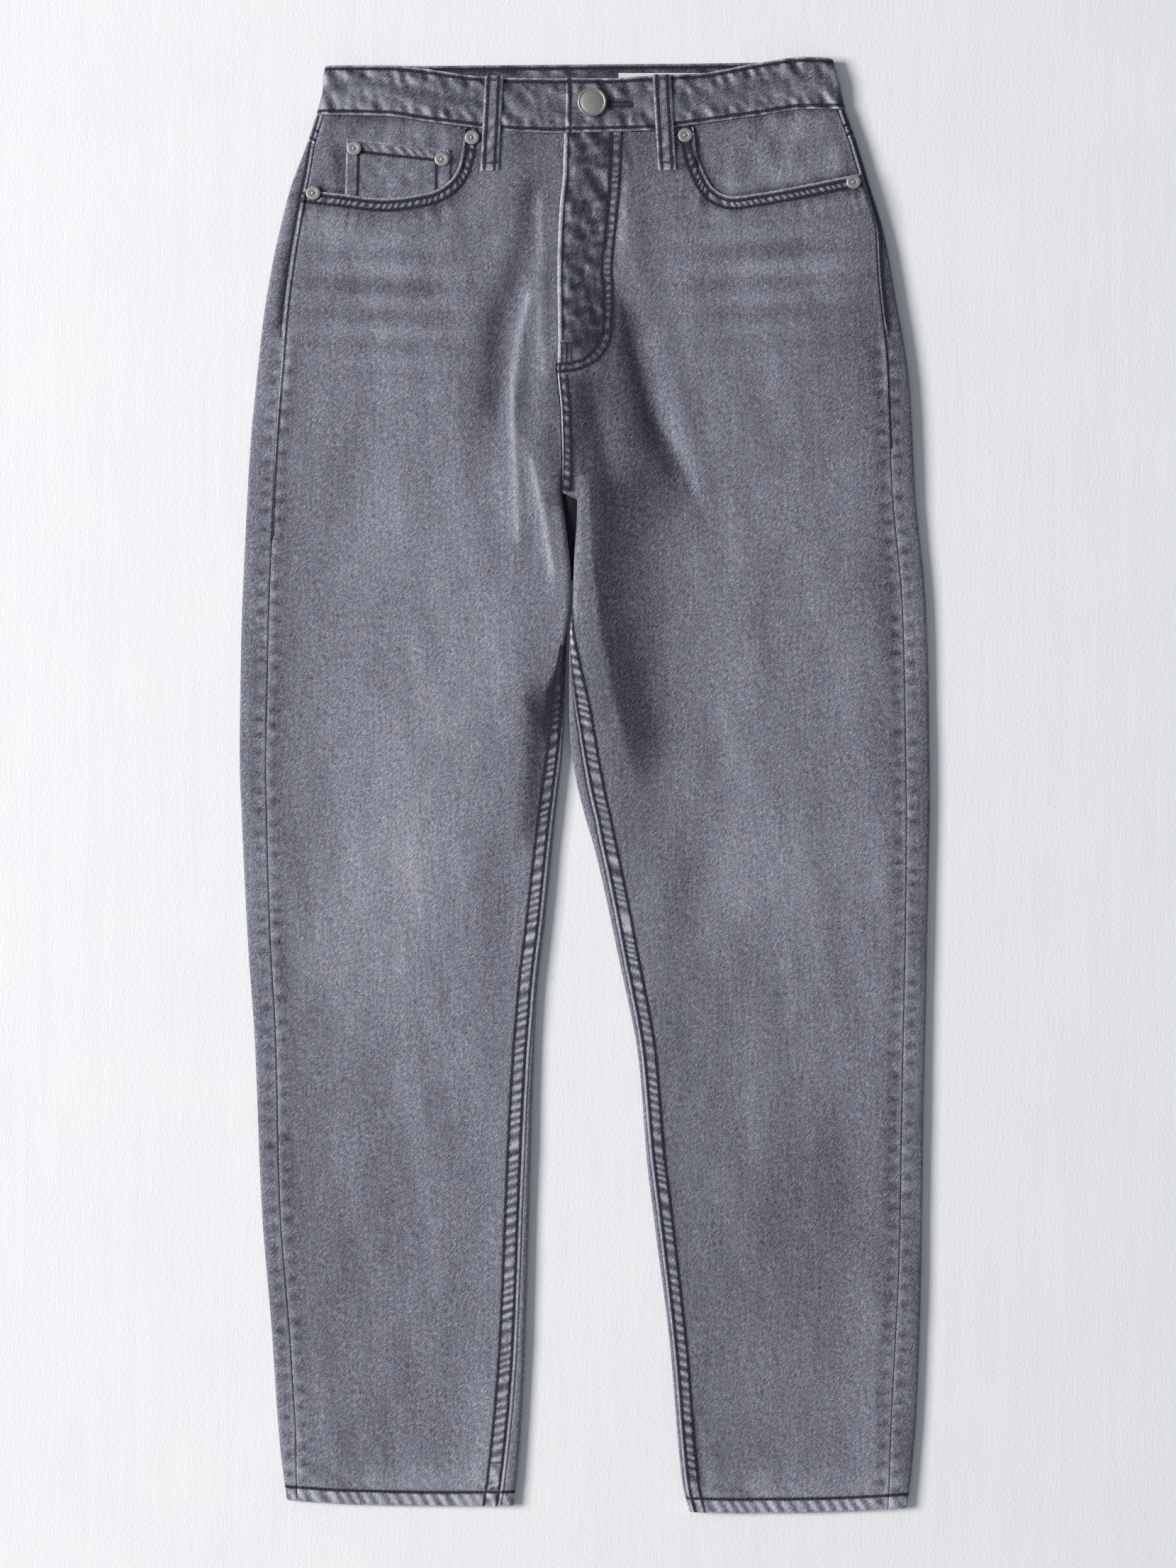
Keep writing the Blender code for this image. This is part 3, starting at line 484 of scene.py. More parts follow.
# %% Creases of the band, and the loops of this garment
BAND_CREASES = (
    # path, half width, height, paleness: pale on ridges as wear and painted highlight, dark in valleys as
    # painted shade
    (((-176, 470), (-150, 475), (-112, 468), (-72, 461)), 3.2, -0.9, -0.16),
    (((-140, 482), (-112, 476), (-84, 471)), 3.5, 0.35, 0.06),
    (((-52, 476), (-34, 468), (-20, 458)), 2.6, -0.5, -0.10),
    (((-44, 466), (-30, 456), (-18, 448)), 2.6, -0.45, -0.09),
    (((-46, 459), (-28, 450)), 2.6, 0.4, 0.08),
    (((16, 473), (26, 470), (40, 466)), 2.4, -0.4, -0.09),
    (((12, 451), (24, 452), (42, 455)), 2.4, -0.4, -0.09),
    (((70, 466), (98, 470), (132, 476), (160, 480)), 3.5, -0.45, -0.08),
    (((84, 478), (112, 482), (140, 487)), 3, 0.3, 0.05),
)


def band_creases(x, y, column):
    """Sum of the band's creases, which end sharply at its seams."""
    return crease_sum(x, y, column, BAND_CREASES, fading=False)


def both(above, below):
    """A line that follows one table above the crotch and another below it."""
    return lambda y: np.where(np.asarray(y) > CROTCH_Y, above(y), below(y))


def right_underlap(y):
    """The right front runs on beneath the left one along the fly."""
    return front_rise(y) - HALF_GAP + 10 * ease(y, 286, 302)


RIGHT = Loop(-1, outer_right,
             both(right_underlap, through(INNER_RIGHT)),
             both(lambda y: back_rise(y) - HALF_GAP, through(INNER_RIGHT)))
LEFT = Loop(1, outer_left,
            both(lambda y: front_rise(y) + HALF_GAP, through(INNER_LEFT)),
            both(lambda y: back_rise(y) + HALF_GAP, through(INNER_LEFT)))
WAIST = Band(-1, outer_right, outer_left, outer_left)
SIDES = {
    "right": {"loop": RIGHT, "side_seam": through(SIDE_SEAM_RIGHT), "inseam": through(INSEAM_RIGHT),
              "hem": through(HEM_RIGHT), "pocket": POCKET_RIGHT, "yoke": through(YOKE_RIGHT),
              "sign": -1, "inseam_shows_below": 92},
    "left": {"loop": LEFT, "side_seam": through(SIDE_SEAM_LEFT), "inseam": through(INSEAM_LEFT),
             "hem": through(HEM_LEFT), "pocket": POCKET_LEFT, "yoke": through(YOKE_LEFT),
             "sign": 1, "inseam_shows_below": 118},
}
print("thickness of a leg at the thigh, in mm:", round(float(edge_top(100)), 1))

# %% How far laid pieces stand proud
def pocket_lift(side):
    """Stand of the front over its pocket facing, and on the right over the coin pocket."""
    px, py, _ = walk(SIDES[side]["pocket"], 2.5)

    def lift(x, y):
        stand = LAP
        if side == "right":
            stand = LAP + LAP * ease(x, -176, -164) * ease(x, -78, -90)
        away = np.sqrt(((x[..., None] - px) ** 2 + (y[..., None] - py) ** 2).min(-1))
        return stand * ease(away, 48, 22)
    return lift


def fly_lift(x, y):
    """Stand of the left front over the right one and the fly shield."""
    return LAP * ease(y, 262, 284) * ease(x - front_rise(y), 80, 44)


def front_lift(side):
    """Stand of a front panel: over its pocket, and on the left over the fly too."""
    pocket = pocket_lift(side)
    if side == "right":
        return pocket
    return lambda x, y: np.maximum(pocket(x, y), fly_lift(x, y))


def coin_lift(x, y):
    """Stand of the coin pocket over the facing that it is sewn on."""
    return SEAM_GAP + CLOTH + 0 * x


def band_lap(x):
    """Stand of the band's buttonhole end over its button end."""
    return BAND_LAP * ease(x, 84, 40)


print("stand of the left front over the fly shield, in mm:", LAP)

# %% [markdown]
# ## From a grid of points to a piece of cloth
# A cloth panel has a face, a back and a rim. The face is a fine grid; the back is never seen
# close, so it takes only each third row and column, and the rim joins the two with five-sided
# faces. Beside its place each point keeps a few measures in millimetres: how far it lies from
# every row of stitches and from the worn edge. The finish draws crisp thread lines from those,
# which a coarse picture could not, and they bend with the seams.

# %% Spacing of rows and columns
EDGE_STEPS = np.array([0, 0.35, 0.9, 1.7, 2.7, 3.8, 5.0, 6.3, 7.7, 9.2, 10.8, 12.5, 14.3])


def spacing(length, step, before=EDGE_STEPS, after=EDGE_STEPS, more=0):
    """Shares of a length: dense near both ends, a step apart between, three to each back cell."""
    gap = length - before[-1] - after[-1]
    count = max(1, int(round(gap / step)))
    count += (-(len(before) + len(after) - 2 + count + more)) % 3
    middle = before[-1] + gap * np.arange(1, count) / count
    return np.concatenate([before, middle, length - after[::-1]]) / length


# %% Cloth from a face grid
FAR_OFF = 99.0
PANELS = {}


def square_to(grid):
    """Unit normals of a grid: the cross product of its steps along columns and rows."""
    normal = np.cross(np.gradient(grid, axis=1), np.gradient(grid, axis=0))
    return normal / np.maximum(np.linalg.norm(normal, axis=-1, keepdims=True), 1e-9)


def rim_of(index):
    """Indices round the rim of a grid, from its first corner and back to it."""
    return np.concatenate([index[0, :-1], index[:-1, -1], index[-1, :0:-1], index[::-1, 0]])


def grid_quads(index):
    """Four-sided faces between neighbouring points of a grid of indices."""
    return np.stack([index[:-1, :-1], index[:-1, 1:], index[1:, 1:], index[1:, :-1]],
                    axis=-1).reshape(-1, 4)


def make_mesh(name, points, faces, material):
    """An object at the origin from points in millimetres, smoothly shaded."""
    mesh = bpy.data.meshes.new(name)
    mesh.from_pydata(points * MM + SHIFT, [], faces)
    mesh.shade_smooth()
    mesh.materials.append(material)
    thing = bpy.data.objects.new(name, mesh)
    bpy.context.collection.objects.link(thing)
    return thing


def cloth(name, face, thickness, outward, material, relief=0.0, facts=None, inside_painted_shade=-0.1):
    """Closed wall of cloth: the face grid plus relief along its normal, and a coarser back.

    facts holds arrays on the grid: rows_a, rows_b and rows_c (distances to three rows of
    stitches each), marks (worn edge, tone, mottle) and rope (turns, strength). The tone carries
    wear and wash and also painted shade; on the back the tone is painted darker, as shade on
    the inside of the cloth.
    """
    normal = square_to(face) * outward
    raised = face + normal * np.asarray(relief)[..., None]
    raised[..., 2] = np.maximum(raised[..., 2], 0.0)
    thickness = np.broadcast_to(thickness, face.shape[:2])
    back = (face - normal * thickness[..., None])[::3, ::3]
    rows, columns = face.shape[:2]
    front_index = np.arange(rows * columns).reshape(rows, columns)
    back_index = rows * columns + np.arange(back.shape[0] * back.shape[1]).reshape(back.shape[:2])
    quads = grid_quads(front_index)
    back_quads = grid_quads(back_index)[:, [0, 3, 2, 1]]
    near, far = rim_of(front_index), rim_of(back_index)
    step = np.arange(len(far) - 1)
    rim = np.stack([near[3 * step], far[step], far[step + 1], near[3 * step + 3],
                    near[3 * step + 2], near[3 * step + 1]], axis=-1)
    if outward < 0:
        quads, back_quads, rim = quads[:, ::-1], back_quads[:, ::-1], rim[:, ::-1]
    faces = quads.tolist() + back_quads.tolist() + rim.tolist()
    points = np.concatenate([raised.reshape(-1, 3), back.reshape(-1, 3)])
    thing = make_mesh(name, points, faces, material)
    given = {"rows_a": FAR_OFF, "rows_b": FAR_OFF, "rows_c": FAR_OFF,
             "marks": (FAR_OFF, 0.0, 0.0), "rope": 0.0}
    given.update(facts or {})
    for key, values in given.items():
        values = np.broadcast_to(values, face.shape)
        beneath = values[::3, ::3].copy()
        # The back is painted darker, as shade on the inside of the cloth.
        if key == "marks":
            beneath[..., 1] += inside_painted_shade
        whole = np.concatenate([values.reshape(-1, 3), beneath.reshape(-1, 3)])
        layer = thing.data.attributes.new(key, "FLOAT_VECTOR", "POINT")
        layer.data.foreach_set("vector", whole.astype(np.float32).ravel())
    return thing


def three(*measures, rest=FAR_OFF):
    """Three measures side by side; the rest fills those that aren't given."""
    filled = measures + (rest,) * (3 - len(measures))
    return np.stack(np.broadcast_arrays(*filled), axis=-1)


def rounded(distance, drop=0.55, reach=1.1):
    """How far an edge rolls down: a quarter ellipse within its reach."""
    return -drop * (1 - np.sqrt(1 - np.clip(1 - distance / reach, 0, 1) ** 2))


def declare(thing, node):
    """Attach a piece of cloth to the root body and, if it has a solid, hide the solid and let the cloth
    stand for it.
    """
    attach(thing, "root")
    if node:
        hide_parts(node)
        PANELS[node] = thing


def cloth_wall(y):
    """One layer of cloth, and the turned-up cloth of the hem below."""
    return mix(CLOTH, HEM_WALL, ease(y, HEM_TOP_Y + 4, HEM_TOP_Y - 2))


print("columns of a 200 mm panel:", len(spacing(200, 2.6)))

# %% [markdown]
# ## Camera, floor and light
# The photograph looks straight down on the garment, so the camera hangs over it, and its
# distance and lens are chosen so that the picture takes in the same rectangle. A broad soft
# light comes from the left, low enough to throw a narrow shadow to the right of each leg.

# %% Camera over the garment
CAMERA_HEIGHT = 2.6
FRAME_HEIGHT = 1.0618
FRAME_CENTRE = (0.0022, 0.0012)
camera_data = bpy.data.cameras.new("camera")
camera_data.sensor_width = 36
camera_data.lens = camera_data.sensor_width * CAMERA_HEIGHT / FRAME_HEIGHT
camera = bpy.data.objects.new("camera", camera_data)
camera.location = (*FRAME_CENTRE, CAMERA_HEIGHT + 0.005)
bpy.context.collection.objects.link(camera)
bpy.context.scene.camera = camera
print("lens in mm:", round(camera_data.lens, 1))

# %% Light from the left and a bright room
LIGHT_AT = (-4.8, 0.4, 3.7)
light_data = bpy.data.lights.new("softbox", "AREA")
light_data.shape = "SQUARE"
light_data.size = 2.2
light_data.energy = 428
light_data.color = (1.0, 0.985, 0.965)
light = bpy.data.objects.new("softbox", light_data)
light.location = LIGHT_AT
light.rotation_euler = Vector(LIGHT_AT).to_track_quat("Z", "Y").to_euler()
bpy.context.collection.objects.link(light)
world = bpy.data.worlds.new("room")
world.use_nodes = True
world.node_tree.nodes["Background"].inputs["Color"].default_value = (0.86, 0.91, 1.0, 1)
world.node_tree.nodes["Background"].inputs["Strength"].default_value = 0.29
bpy.context.scene.world = world
bpy.context.scene.view_settings.view_transform = "Standard"
print("elevation of the light in degrees:", round(math.degrees(math.atan2(LIGHT_AT[2], -LIGHT_AT[0]))))

# %% [markdown]
# ## Materials
# Node trees are long to write by hand, so a small helper class adds a node, links its inputs
# and returns its output. Sums and products of outputs then read like a formula.

# %% A helper for node trees
class Nodes:
    """Adds nodes to a material; each method returns the new node's output."""

    def __init__(self, name):
        self.material = bpy.data.materials.new(name)
        self.material.use_nodes = True
        self.tree = self.material.node_tree
        self.shader = self.tree.nodes["Principled BSDF"]

    def set(self, socket, value):
        """Link an output into a socket, or store a plain value there."""
        if isinstance(value, bpy.types.NodeSocket):
            self.tree.links.new(value, socket)
        else:
            socket.default_value = value

    def math(self, operation, *values):
        node = self.tree.nodes.new("ShaderNodeMath")
        node.operation = operation
        for socket, value in zip(node.inputs, values):
            self.set(socket, value)
        return node.outputs[0]

    def add(self, *values):
        total = values[0]
        for value in values[1:]:
            total = self.math("ADD", total, value)
        return total

    def times(self, first, second):
        return self.math("MULTIPLY", first, second)

    def centred(self, value, amount):
        """An output from 0 to 1 as a swing of amount round nothing."""
        return self.math("MULTIPLY_ADD", value, amount, -0.5 * amount)

    def vector(self, operation, *values):
        node = self.tree.nodes.new("ShaderNodeVectorMath")
        node.operation = operation
        for socket, value in zip(node.inputs, values):
            self.set(socket, value)
        return node.outputs["Value" if operation in ("DOT_PRODUCT", "LENGTH") else "Vector"]

    def span(self, value, low, high, from_value=0.0, to_value=1.0):
        """Smooth step of a value between low and high."""
        node = self.tree.nodes.new("ShaderNodeMapRange")
        node.interpolation_type = "SMOOTHSTEP"
        self.set(node.inputs["Value"], value)
        node.inputs["From Min"].default_value = low
        node.inputs["From Max"].default_value = high
        node.inputs["To Min"].default_value = from_value
        node.inputs["To Max"].default_value = to_value
        return node.outputs["Result"]

    def noise(self, place, scale, detail=2.0, roughness=0.5):
        node = self.tree.nodes.new("ShaderNodeTexNoise")
        self.set(node.inputs["Vector"], place)
        node.inputs["Scale"].default_value = scale
        node.inputs["Detail"].default_value = detail
        node.inputs["Roughness"].default_value = roughness
        return node.outputs["Fac"]

    def place(self):
        """Object coordinates in millimetres."""
        node = self.tree.nodes.new("ShaderNodeTexCoord")
        return self.vector("MULTIPLY", node.outputs["Object"], (1 / MM, 1 / MM, 1 / MM))

    def attribute(self, name):
        node = self.tree.nodes.new("ShaderNodeAttribute")
        node.attribute_name = name
        return node.outputs["Vector"]

    def parts(self, vector):
        node = self.tree.nodes.new("ShaderNodeSeparateXYZ")
        self.set(node.inputs[0], vector)
        return node.outputs

    def ramp(self, value, stops):
        node = self.tree.nodes.new("ShaderNodeValToRGB")
        self.set(node.inputs["Fac"], value)
        line = node.color_ramp.elements
        while len(line) < len(stops):
            line.new(0.5)
        for element, (at, colour) in zip(line, stops):
            element.position = at
            element.color = (*colour, 1)
        return node.outputs["Color"]

    def bump(self, height, distance, strength=1.0):
        node = self.tree.nodes.new("ShaderNodeBump")
        self.set(node.inputs["Height"], height)
        node.inputs["Distance"].default_value = distance
        node.inputs["Strength"].default_value = strength
        self.tree.links.new(node.outputs["Normal"], self.shader.inputs["Normal"])

    def finish(self, **values):
        for name, value in values.items():
            self.set(self.shader.inputs[name.replace("_", " ")], value)
        return self.material


# %% [markdown]
# ### Washed twill
# Denim is a twill: each warp thread passes over three wefts and under one, a step further in
# every row, which draws slanting lines. Washing rubs dye off what stands proud, so a single
# number, how worn the thread is, drives one ramp from charcoal navy to pale grey. Painted shade
# goes into the same number: valleys, the cloth beyond folds, recesses, the grooves of stitch
# rows and the dents of puckers are darkened in it, while wear pales the crests. The lines of
# the twill, slubs, mottling, seams, stitch rows and puckers all add to it or take from it.

# %% The denim finish
TWILL_PITCH = 0.98
TWILL_ANGLE = math.radians(57)
DENIM_STOPS = (
    (0.0, (0.016, 0.017, 0.026)), (0.25, (0.062, 0.063, 0.085)), (0.5, (0.184, 0.186, 0.234)),
    (0.75, (0.366, 0.37, 0.442)), (1.0, (0.70, 0.70, 0.75)))


def denim(name, angle=TWILL_ANGLE, shade=0.0):
    """Washed twill: worn = twill + threads + mottling + tone + edges - stitch rows; tone and the dark
    stitch rows include painted shade.
    """
    n = Nodes(name)
    place = n.place()
    bend = n.centred(n.noise(place, 0.06, 1.0), 3.0)
    along = (math.cos(angle), math.sin(angle), 0.0)
    across = (math.sin(angle), -math.cos(angle), 0.0)
    u = n.add(n.vector("DOT_PRODUCT", place, across), bend)
    v = n.vector("DOT_PRODUCT", place, along)
    strand = n.math("SINE", n.times(u, 2 * math.pi / TWILL_PITCH))
    thread_place = n.tree.nodes.new("ShaderNodeCombineXYZ")
    n.set(thread_place.inputs[0], u)
    n.set(thread_place.inputs[1], n.times(v, 0.3))
    threads = n.noise(thread_place.outputs[0], 0.95, 2.0, 0.6)
    slubs = n.noise(n.vector("MULTIPLY", place, (0.5, 0.035, 0.2)), 1.0, 2.0, 0.55)
    speck = n.noise(place, 1.7, 1.0, 0.7)
    grain = n.noise(place, 0.8, 1.0, 0.6)
    mottle = n.noise(place, 0.11, 3.0, 0.6)
    cloud = n.noise(n.vector("MULTIPLY", place, (1.0, 0.45, 1.0)), 0.022, 2.0, 0.5)
    worn_edge, tone, mottled = n.parts(n.attribute("marks"))
    turns, strength, _ = n.parts(n.attribute("rope"))
    rope = n.times(n.math("SINE", n.times(turns, 2 * math.pi)), strength)
    nearest = None
    for key in ("rows_a", "rows_b", "rows_c"):
        for part in n.parts(n.vector("ABSOLUTE", n.attribute(key))):
            nearest = part if nearest is None else n.math("MINIMUM", nearest, part)
    # Stitch rows are painted dark wider than their thread, as the shade of their grooves, and a little
    # darker beside them.
    row = n.span(nearest, 0.45, 1.25, 1.0, 0.0)
    row_side_shade = n.span(nearest, 0.7, 2.8, 1.0, 0.0)
    edge = n.span(worn_edge, 0.2, 1.9, 1.0, 0.0)
    contrast = n.math("MULTIPLY_ADD", threads, 0.9, -0.05)
    frayed = n.math("MULTIPLY_ADD", threads, 0.9, 0.35)
    worn = n.add(
        n.times(n.times(strand, 0.55), contrast), n.centred(threads, 0.62), n.centred(slubs, 0.18),
        n.centred(speck, 0.72), n.centred(grain, 0.44), n.centred(mottle, 0.08),
        n.centred(cloud, 0.06), n.times(n.centred(mottle, 1.0), mottled), tone,
        n.times(n.times(rope, 0.20), frayed), n.times(n.times(edge, 0.40), frayed),
        n.times(row, -0.56), n.times(row_side_shade, -0.10), 0.47 + shade)
    height = n.add(n.times(strand, 0.055), n.times(threads, 0.16), n.times(speck, 0.05),
                   n.times(rope, 0.16), n.times(row, -0.30))
    n.bump(height, 1.0 * MM, 0.9)
    return n.finish(Base_Color=n.ramp(worn, DENIM_STOPS), Roughness=0.88, Specular_IOR_Level=0.25,
                    Sheen_Weight=0.12, Sheen_Roughness=0.5)


denim_body = denim("washed_denim")
denim_band = denim("washed_denim_band", math.radians(33))
# A copy of the denim painted darker by 0.04, as shade, for the cloth in the pocket mouths and behind the
# fly.
denim_inside = denim("denim_in_the_pockets", TWILL_ANGLE, -0.04)
print("denim finishes:", denim_body.name, denim_band.name, denim_inside.name)


# %% Thread, metal, label and paper
def thread_finish():
    """Dark thread: charcoal navy, with a little wear along its plies."""
    n = Nodes("topstitch_thread")
    worn = n.noise(n.place(), 1.3, 2.0, 0.6)
    n.bump(n.noise(n.place(), 4.0, 1.0), 0.2 * MM, 0.5)
    stops = ((0.3, (0.014, 0.015, 0.024)), (0.7, (0.05, 0.05, 0.07)))
    return n.finish(Base_Color=n.ramp(worn, stops), Roughness=0.75)


def pewter_finish(name, dull, bright):
    """Aged pewter: fine grain over slow blotches, from a dull to a bright grey."""
    n = Nodes(name)
    place = n.place()
    blotch = n.add(n.times(n.noise(place, 0.45, 3.0), 0.6), n.times(n.noise(place, 2.6, 2.0), 0.4))
    n.bump(n.noise(place, 2.2, 2.0), 0.25 * MM, 0.25)
    return n.finish(Base_Color=n.ramp(blotch, ((0.25, dull), (0.7, bright))), Metallic=1.0,
                    Roughness=n.span(blotch, 0.3, 0.7, 0.6, 0.45))


def label_finish():
    """Blank woven label: white, with a fine cross weave."""
    n = Nodes("label_cotton")
    x, y, _ = n.parts(n.place())
    weave = n.times(n.math("SINE", n.times(x, 9.0)), n.math("SINE", n.times(y, 9.0)))
    n.bump(weave, 0.1 * MM, 0.4)
    return n.finish(Base_Color=n.ramp(n.math("MULTIPLY_ADD", weave, 0.3, 0.5),
                                      ((0.0, (0.66, 0.66, 0.66)), (1.0, (0.86, 0.86, 0.85)))),
                    Roughness=0.8)


def paper_finish():
    """Pale plastered board: nearly white, with faint long trowel marks."""
    n = Nodes("pale_board")
    place = n.place()
    grain = n.noise(n.vector("MULTIPLY", place, (1.0, 0.55, 1.0)), 0.55, 4.0, 0.6)
    marks = n.noise(n.vector("MULTIPLY", place, (1.0, 0.12, 1.0)), 0.06, 3.0, 0.6)
    n.bump(n.add(n.times(grain, 0.6), n.times(marks, 0.7)), 1.1 * MM, 0.45)
    tint = n.noise(place, 0.012, 2.0)
    return n.finish(Base_Color=n.ramp(tint, ((0.3, (0.87, 0.88, 0.90)), (0.7, (0.90, 0.90, 0.91)))),
                    Roughness=0.9)


thread = thread_finish()
rivet_metal = pewter_finish("rivet_pewter", (0.29, 0.29, 0.30), (0.54, 0.54, 0.54))
button_metal = pewter_finish("button_pewter", (0.22, 0.215, 0.205), (0.50, 0.49, 0.47))
label_cotton = label_finish()
bpy.ops.mesh.primitive_plane_add(size=6, location=(0, 0, -0.0003))
floor = bpy.context.object
floor.name = "floor"
floor.data.materials.append(paper_finish())
print("materials:", len(bpy.data.materials))

# %% [markdown]
# ## The fronts
# A front runs from the side seam over the thigh to the inseam and the fly, with the pocket
# mouth cut out of its top. Its columns fan from even at the hem to the curve of the mouth, and
# its rows are dense along every edge, where rolled edges, ropes and puckers need them.

# %% Puckers along seams
def puckers(along, pitch, seed, unevenness=0.35):
    """Waves along a seam whose pitch and depth wander, from -1 to 1."""
    phase = along / pitch + unevenness * wander(along, 5 * pitch, seed)
    return np.sin(2 * math.pi * phase) * (0.65 + 0.3 * wander(along, 4 * pitch, seed + 1)), phase


def dimples(along, distance, pitch, seed, out=5.0, half=3.4):
    """Row of dents beside a seam: sharp peaks along it times a bell across, from 0 to 1."""
    phase = along / pitch + 0.16 * wander(along, 4 * pitch, seed)
    depth = 0.85 + 0.15 * wander(along, 3 * pitch, seed + 1)
    return np.clip(np.sin(2 * math.pi * phase), 0, 1) ** 1.8 * depth * bell(distance, out, half)


def window(value, low, high, soft=1.0):
    """1 between low and high, with soft ends."""
    return ease(value, low - soft / 2, low + soft / 2) * ease(value, high + soft / 2, high - soft / 2)


SIDE_TACK_Y = 308
SIDE_PITCH = 12.5


def side_puckers(y, distance, side, shift=0.0):
    """Relief and tone beside the side seam below its tack: dents, and crests between them; the crests are
    paled as wear, the dents painted dark as shade.
    """
    seed = 31 + len(side)
    below = ease(y, SIDE_TACK_Y + 10, SIDE_TACK_Y - 22)
    dents = below * dimples(y + shift, distance, SIDE_PITCH, seed)
    crests = below * dimples(y + shift - 5.5, distance, SIDE_PITCH, seed, 3.6, 3.0)
    return 0.22 * crests - 0.40 * dents, 0.11 * crests - 0.19 * dents


# %% Tone of a leg
WASH_FADES_AND_PAINTED_SHADE = (
    # x, y, half width, half height, paler by: pale ovals are fades of the wash, dark ovals are
    # mostly painted shade in valleys and on sides turned away from the light
    (-110, 270, 50, 34, 0.05), (-130, 180, 56, 70, 0.07), (-120, 30, 50, 80, 0.09),
    (-112, -50, 26, 46, 0.08), (-160, -110, 30, 60, 0.06), (-75, 90, 24, 90, 0.07),
    (-105, -150, 60, 70, 0.05), (-185, 40, 14, 200, 0.05), (-180, 380, 16, 16, 0.07),
    (105, 215, 40, 50, 0.05), (105, 30, 40, 90, 0.06), (140, -75, 40, 60, 0.06),
    (0, 440, 260, 44, -0.06), (90, 400, 60, 30, 0.02), (150, -300, 60, 70, -0.06),
    (205, 300, 16, 90, -0.10), (200, 430, 30, 60, -0.08), (205, 120, 14, 110, -0.06),
    (2, 330, 20, 90, -0.09), (62, 390, 20, 28, -0.08), (172, 315, 26, 28, -0.08),
    (-66, 248, 15, 36, -0.12), (35, 60, 18, 60, -0.06), (-130, 412, 24, 20, -0.07),
    (-156, 456, 36, 26, 0.15), (-50, 460, 60, 24, -0.04), (36, 446, 18, 24, -0.05),
    (68, -50, 14, 50, -0.08), (-64, -80, 14, 50, -0.06), (-132, -60, 26, 90, 0.05),
    (-165, -60, 24, 100, 0.04), (-165, 378, 20, 20, 0.06), (-202, 80, 12, 70, -0.05),
    (165, -270, 30, 60, -0.05), (140, 235, 22, 36, -0.05), (182, 298, 24, 30, -0.05),
    (-70, 290, 18, 50, -0.06), (-30, 190, 13, 60, 0.07), (36, 230, 19, 110, -0.09),
    (4, 220, 17, 110, -0.06), (-30, 40, 16, 56, -0.10), (-203, -430, 26, 70, 0.05),
    (-60, -440, 20, 60, 0.06), (-140, 430, 40, 22, 0.05), (38, 430, 16, 20, -0.05),
)
PAINTED_SHADES = (
    # painted shade of folds and valleys, and painted shadow beyond folds: leg, path, half width,
    # darker by, side, fade at its start and end; side 1 shades only the part at greater x, as beyond
    # a fold, and -1 only the part at less
    ("left", ((21, 352), (37, 283), (50, 246), (66, 217), (81, 184), (96, 158)), 27, 0.24, -1, 40, 60),
    ("left", ((2.0, 226), (2.9, 192), (4.6, 159), (7.9, 126), (10.6, 104), (15, 81), (19.4, 60), (28, 26),
              (36, -12)), 36, 0.31, 1, 30, 50),
    ("left", ((1.0, 284), (-4, 240), (-6, 204)), 13, 0.24, 0, 14, 10),
    ("right", ((-17, 296), (-18, 250), (-15, 205)), 9, 0.14, -1, 24, 10),
    ("right", ((-7.6, 136), (-9.5, 122), (-12.5, 104), (-19, 82), (-25.8, 65), (-27.4, 53), (-28.5, 40),
               (-29.5, 12)), 17, 0.60, 1, 5, 55),
    ("right", ((-29, 76), (-33, 45), (-35, -5), (-39, -52)), 7.0, 0.26, 0, 24, 30),
    ("right", ((-14, 214), (-18, 184)), 9, 0.20, 0, 8, 8),
    ("right", ((-36, 420), (-39, 390), (-43, 358), (-51, 339), (-59, 318), (-62, 290), (-64, 240)),
     9, 0.17, 0, 24, 24),
)


def painted_shade_sum(x, y, on_leg):
    """Sum of a leg's painted shade: a bell across each path, or its one half, as painted shadow beyond a
    fold that ends it.
    """
    total = 0 * x
    for leg, route, half_width, darker, side, fade_in, fade_out in PAINTED_SHADES:
        if leg != on_leg:
            continue
        near, across, nearest, px, at = near_path(route, 3.0, half_width, x, y)
        fade = (ease(at, 0, fade_in) * ease(at, at[-1], at[-1] - fade_out))[nearest]
        half = ease(side * (x[near] - px[nearest]), -1.5, 2.5) if side else 1.0
        total[near] -= darker * fade * half * across
    return np.maximum(total, -0.62)


def whiskers(x, y):
    """Pale bands across the hips where the cloth folds when its wearer sits."""
    right = bell(x, -135, 52) * bell(y, 330, 48) * np.cos(2 * math.pi * (y - 343 + 0.04 * x) / 20.6)
    left = bell(x, 125, 52) * bell(y, 352, 50) * np.cos(2 * math.pi * (y - 346 - 0.04 * x) / 21.2)
    return 0.08 * (right + left)


def leg_tone(x, y, side):
    """Tone of the leg: broad pale ovals of the wash and dark ones mostly of painted shade, a little
    unevenness, the painted shade of folds, and creases pale on ridges and painted dark in valleys.
    """
    tone = 0.014 * waves(x, y, 60, 11, 2.2) + 0.016 * streaks(x, y, 91, 30, 13)
    for at_x, at_y, wide, high, paler in WASH_FADES_AND_PAINTED_SHADE:
        tone = tone + paler * np.exp(-((x - at_x) / wide) ** 2 - ((y - at_y) / high) ** 2)
    return tone + whiskers(x, y) + painted_shade_sum(x, y, side) + crease_sum(x, y, 3)


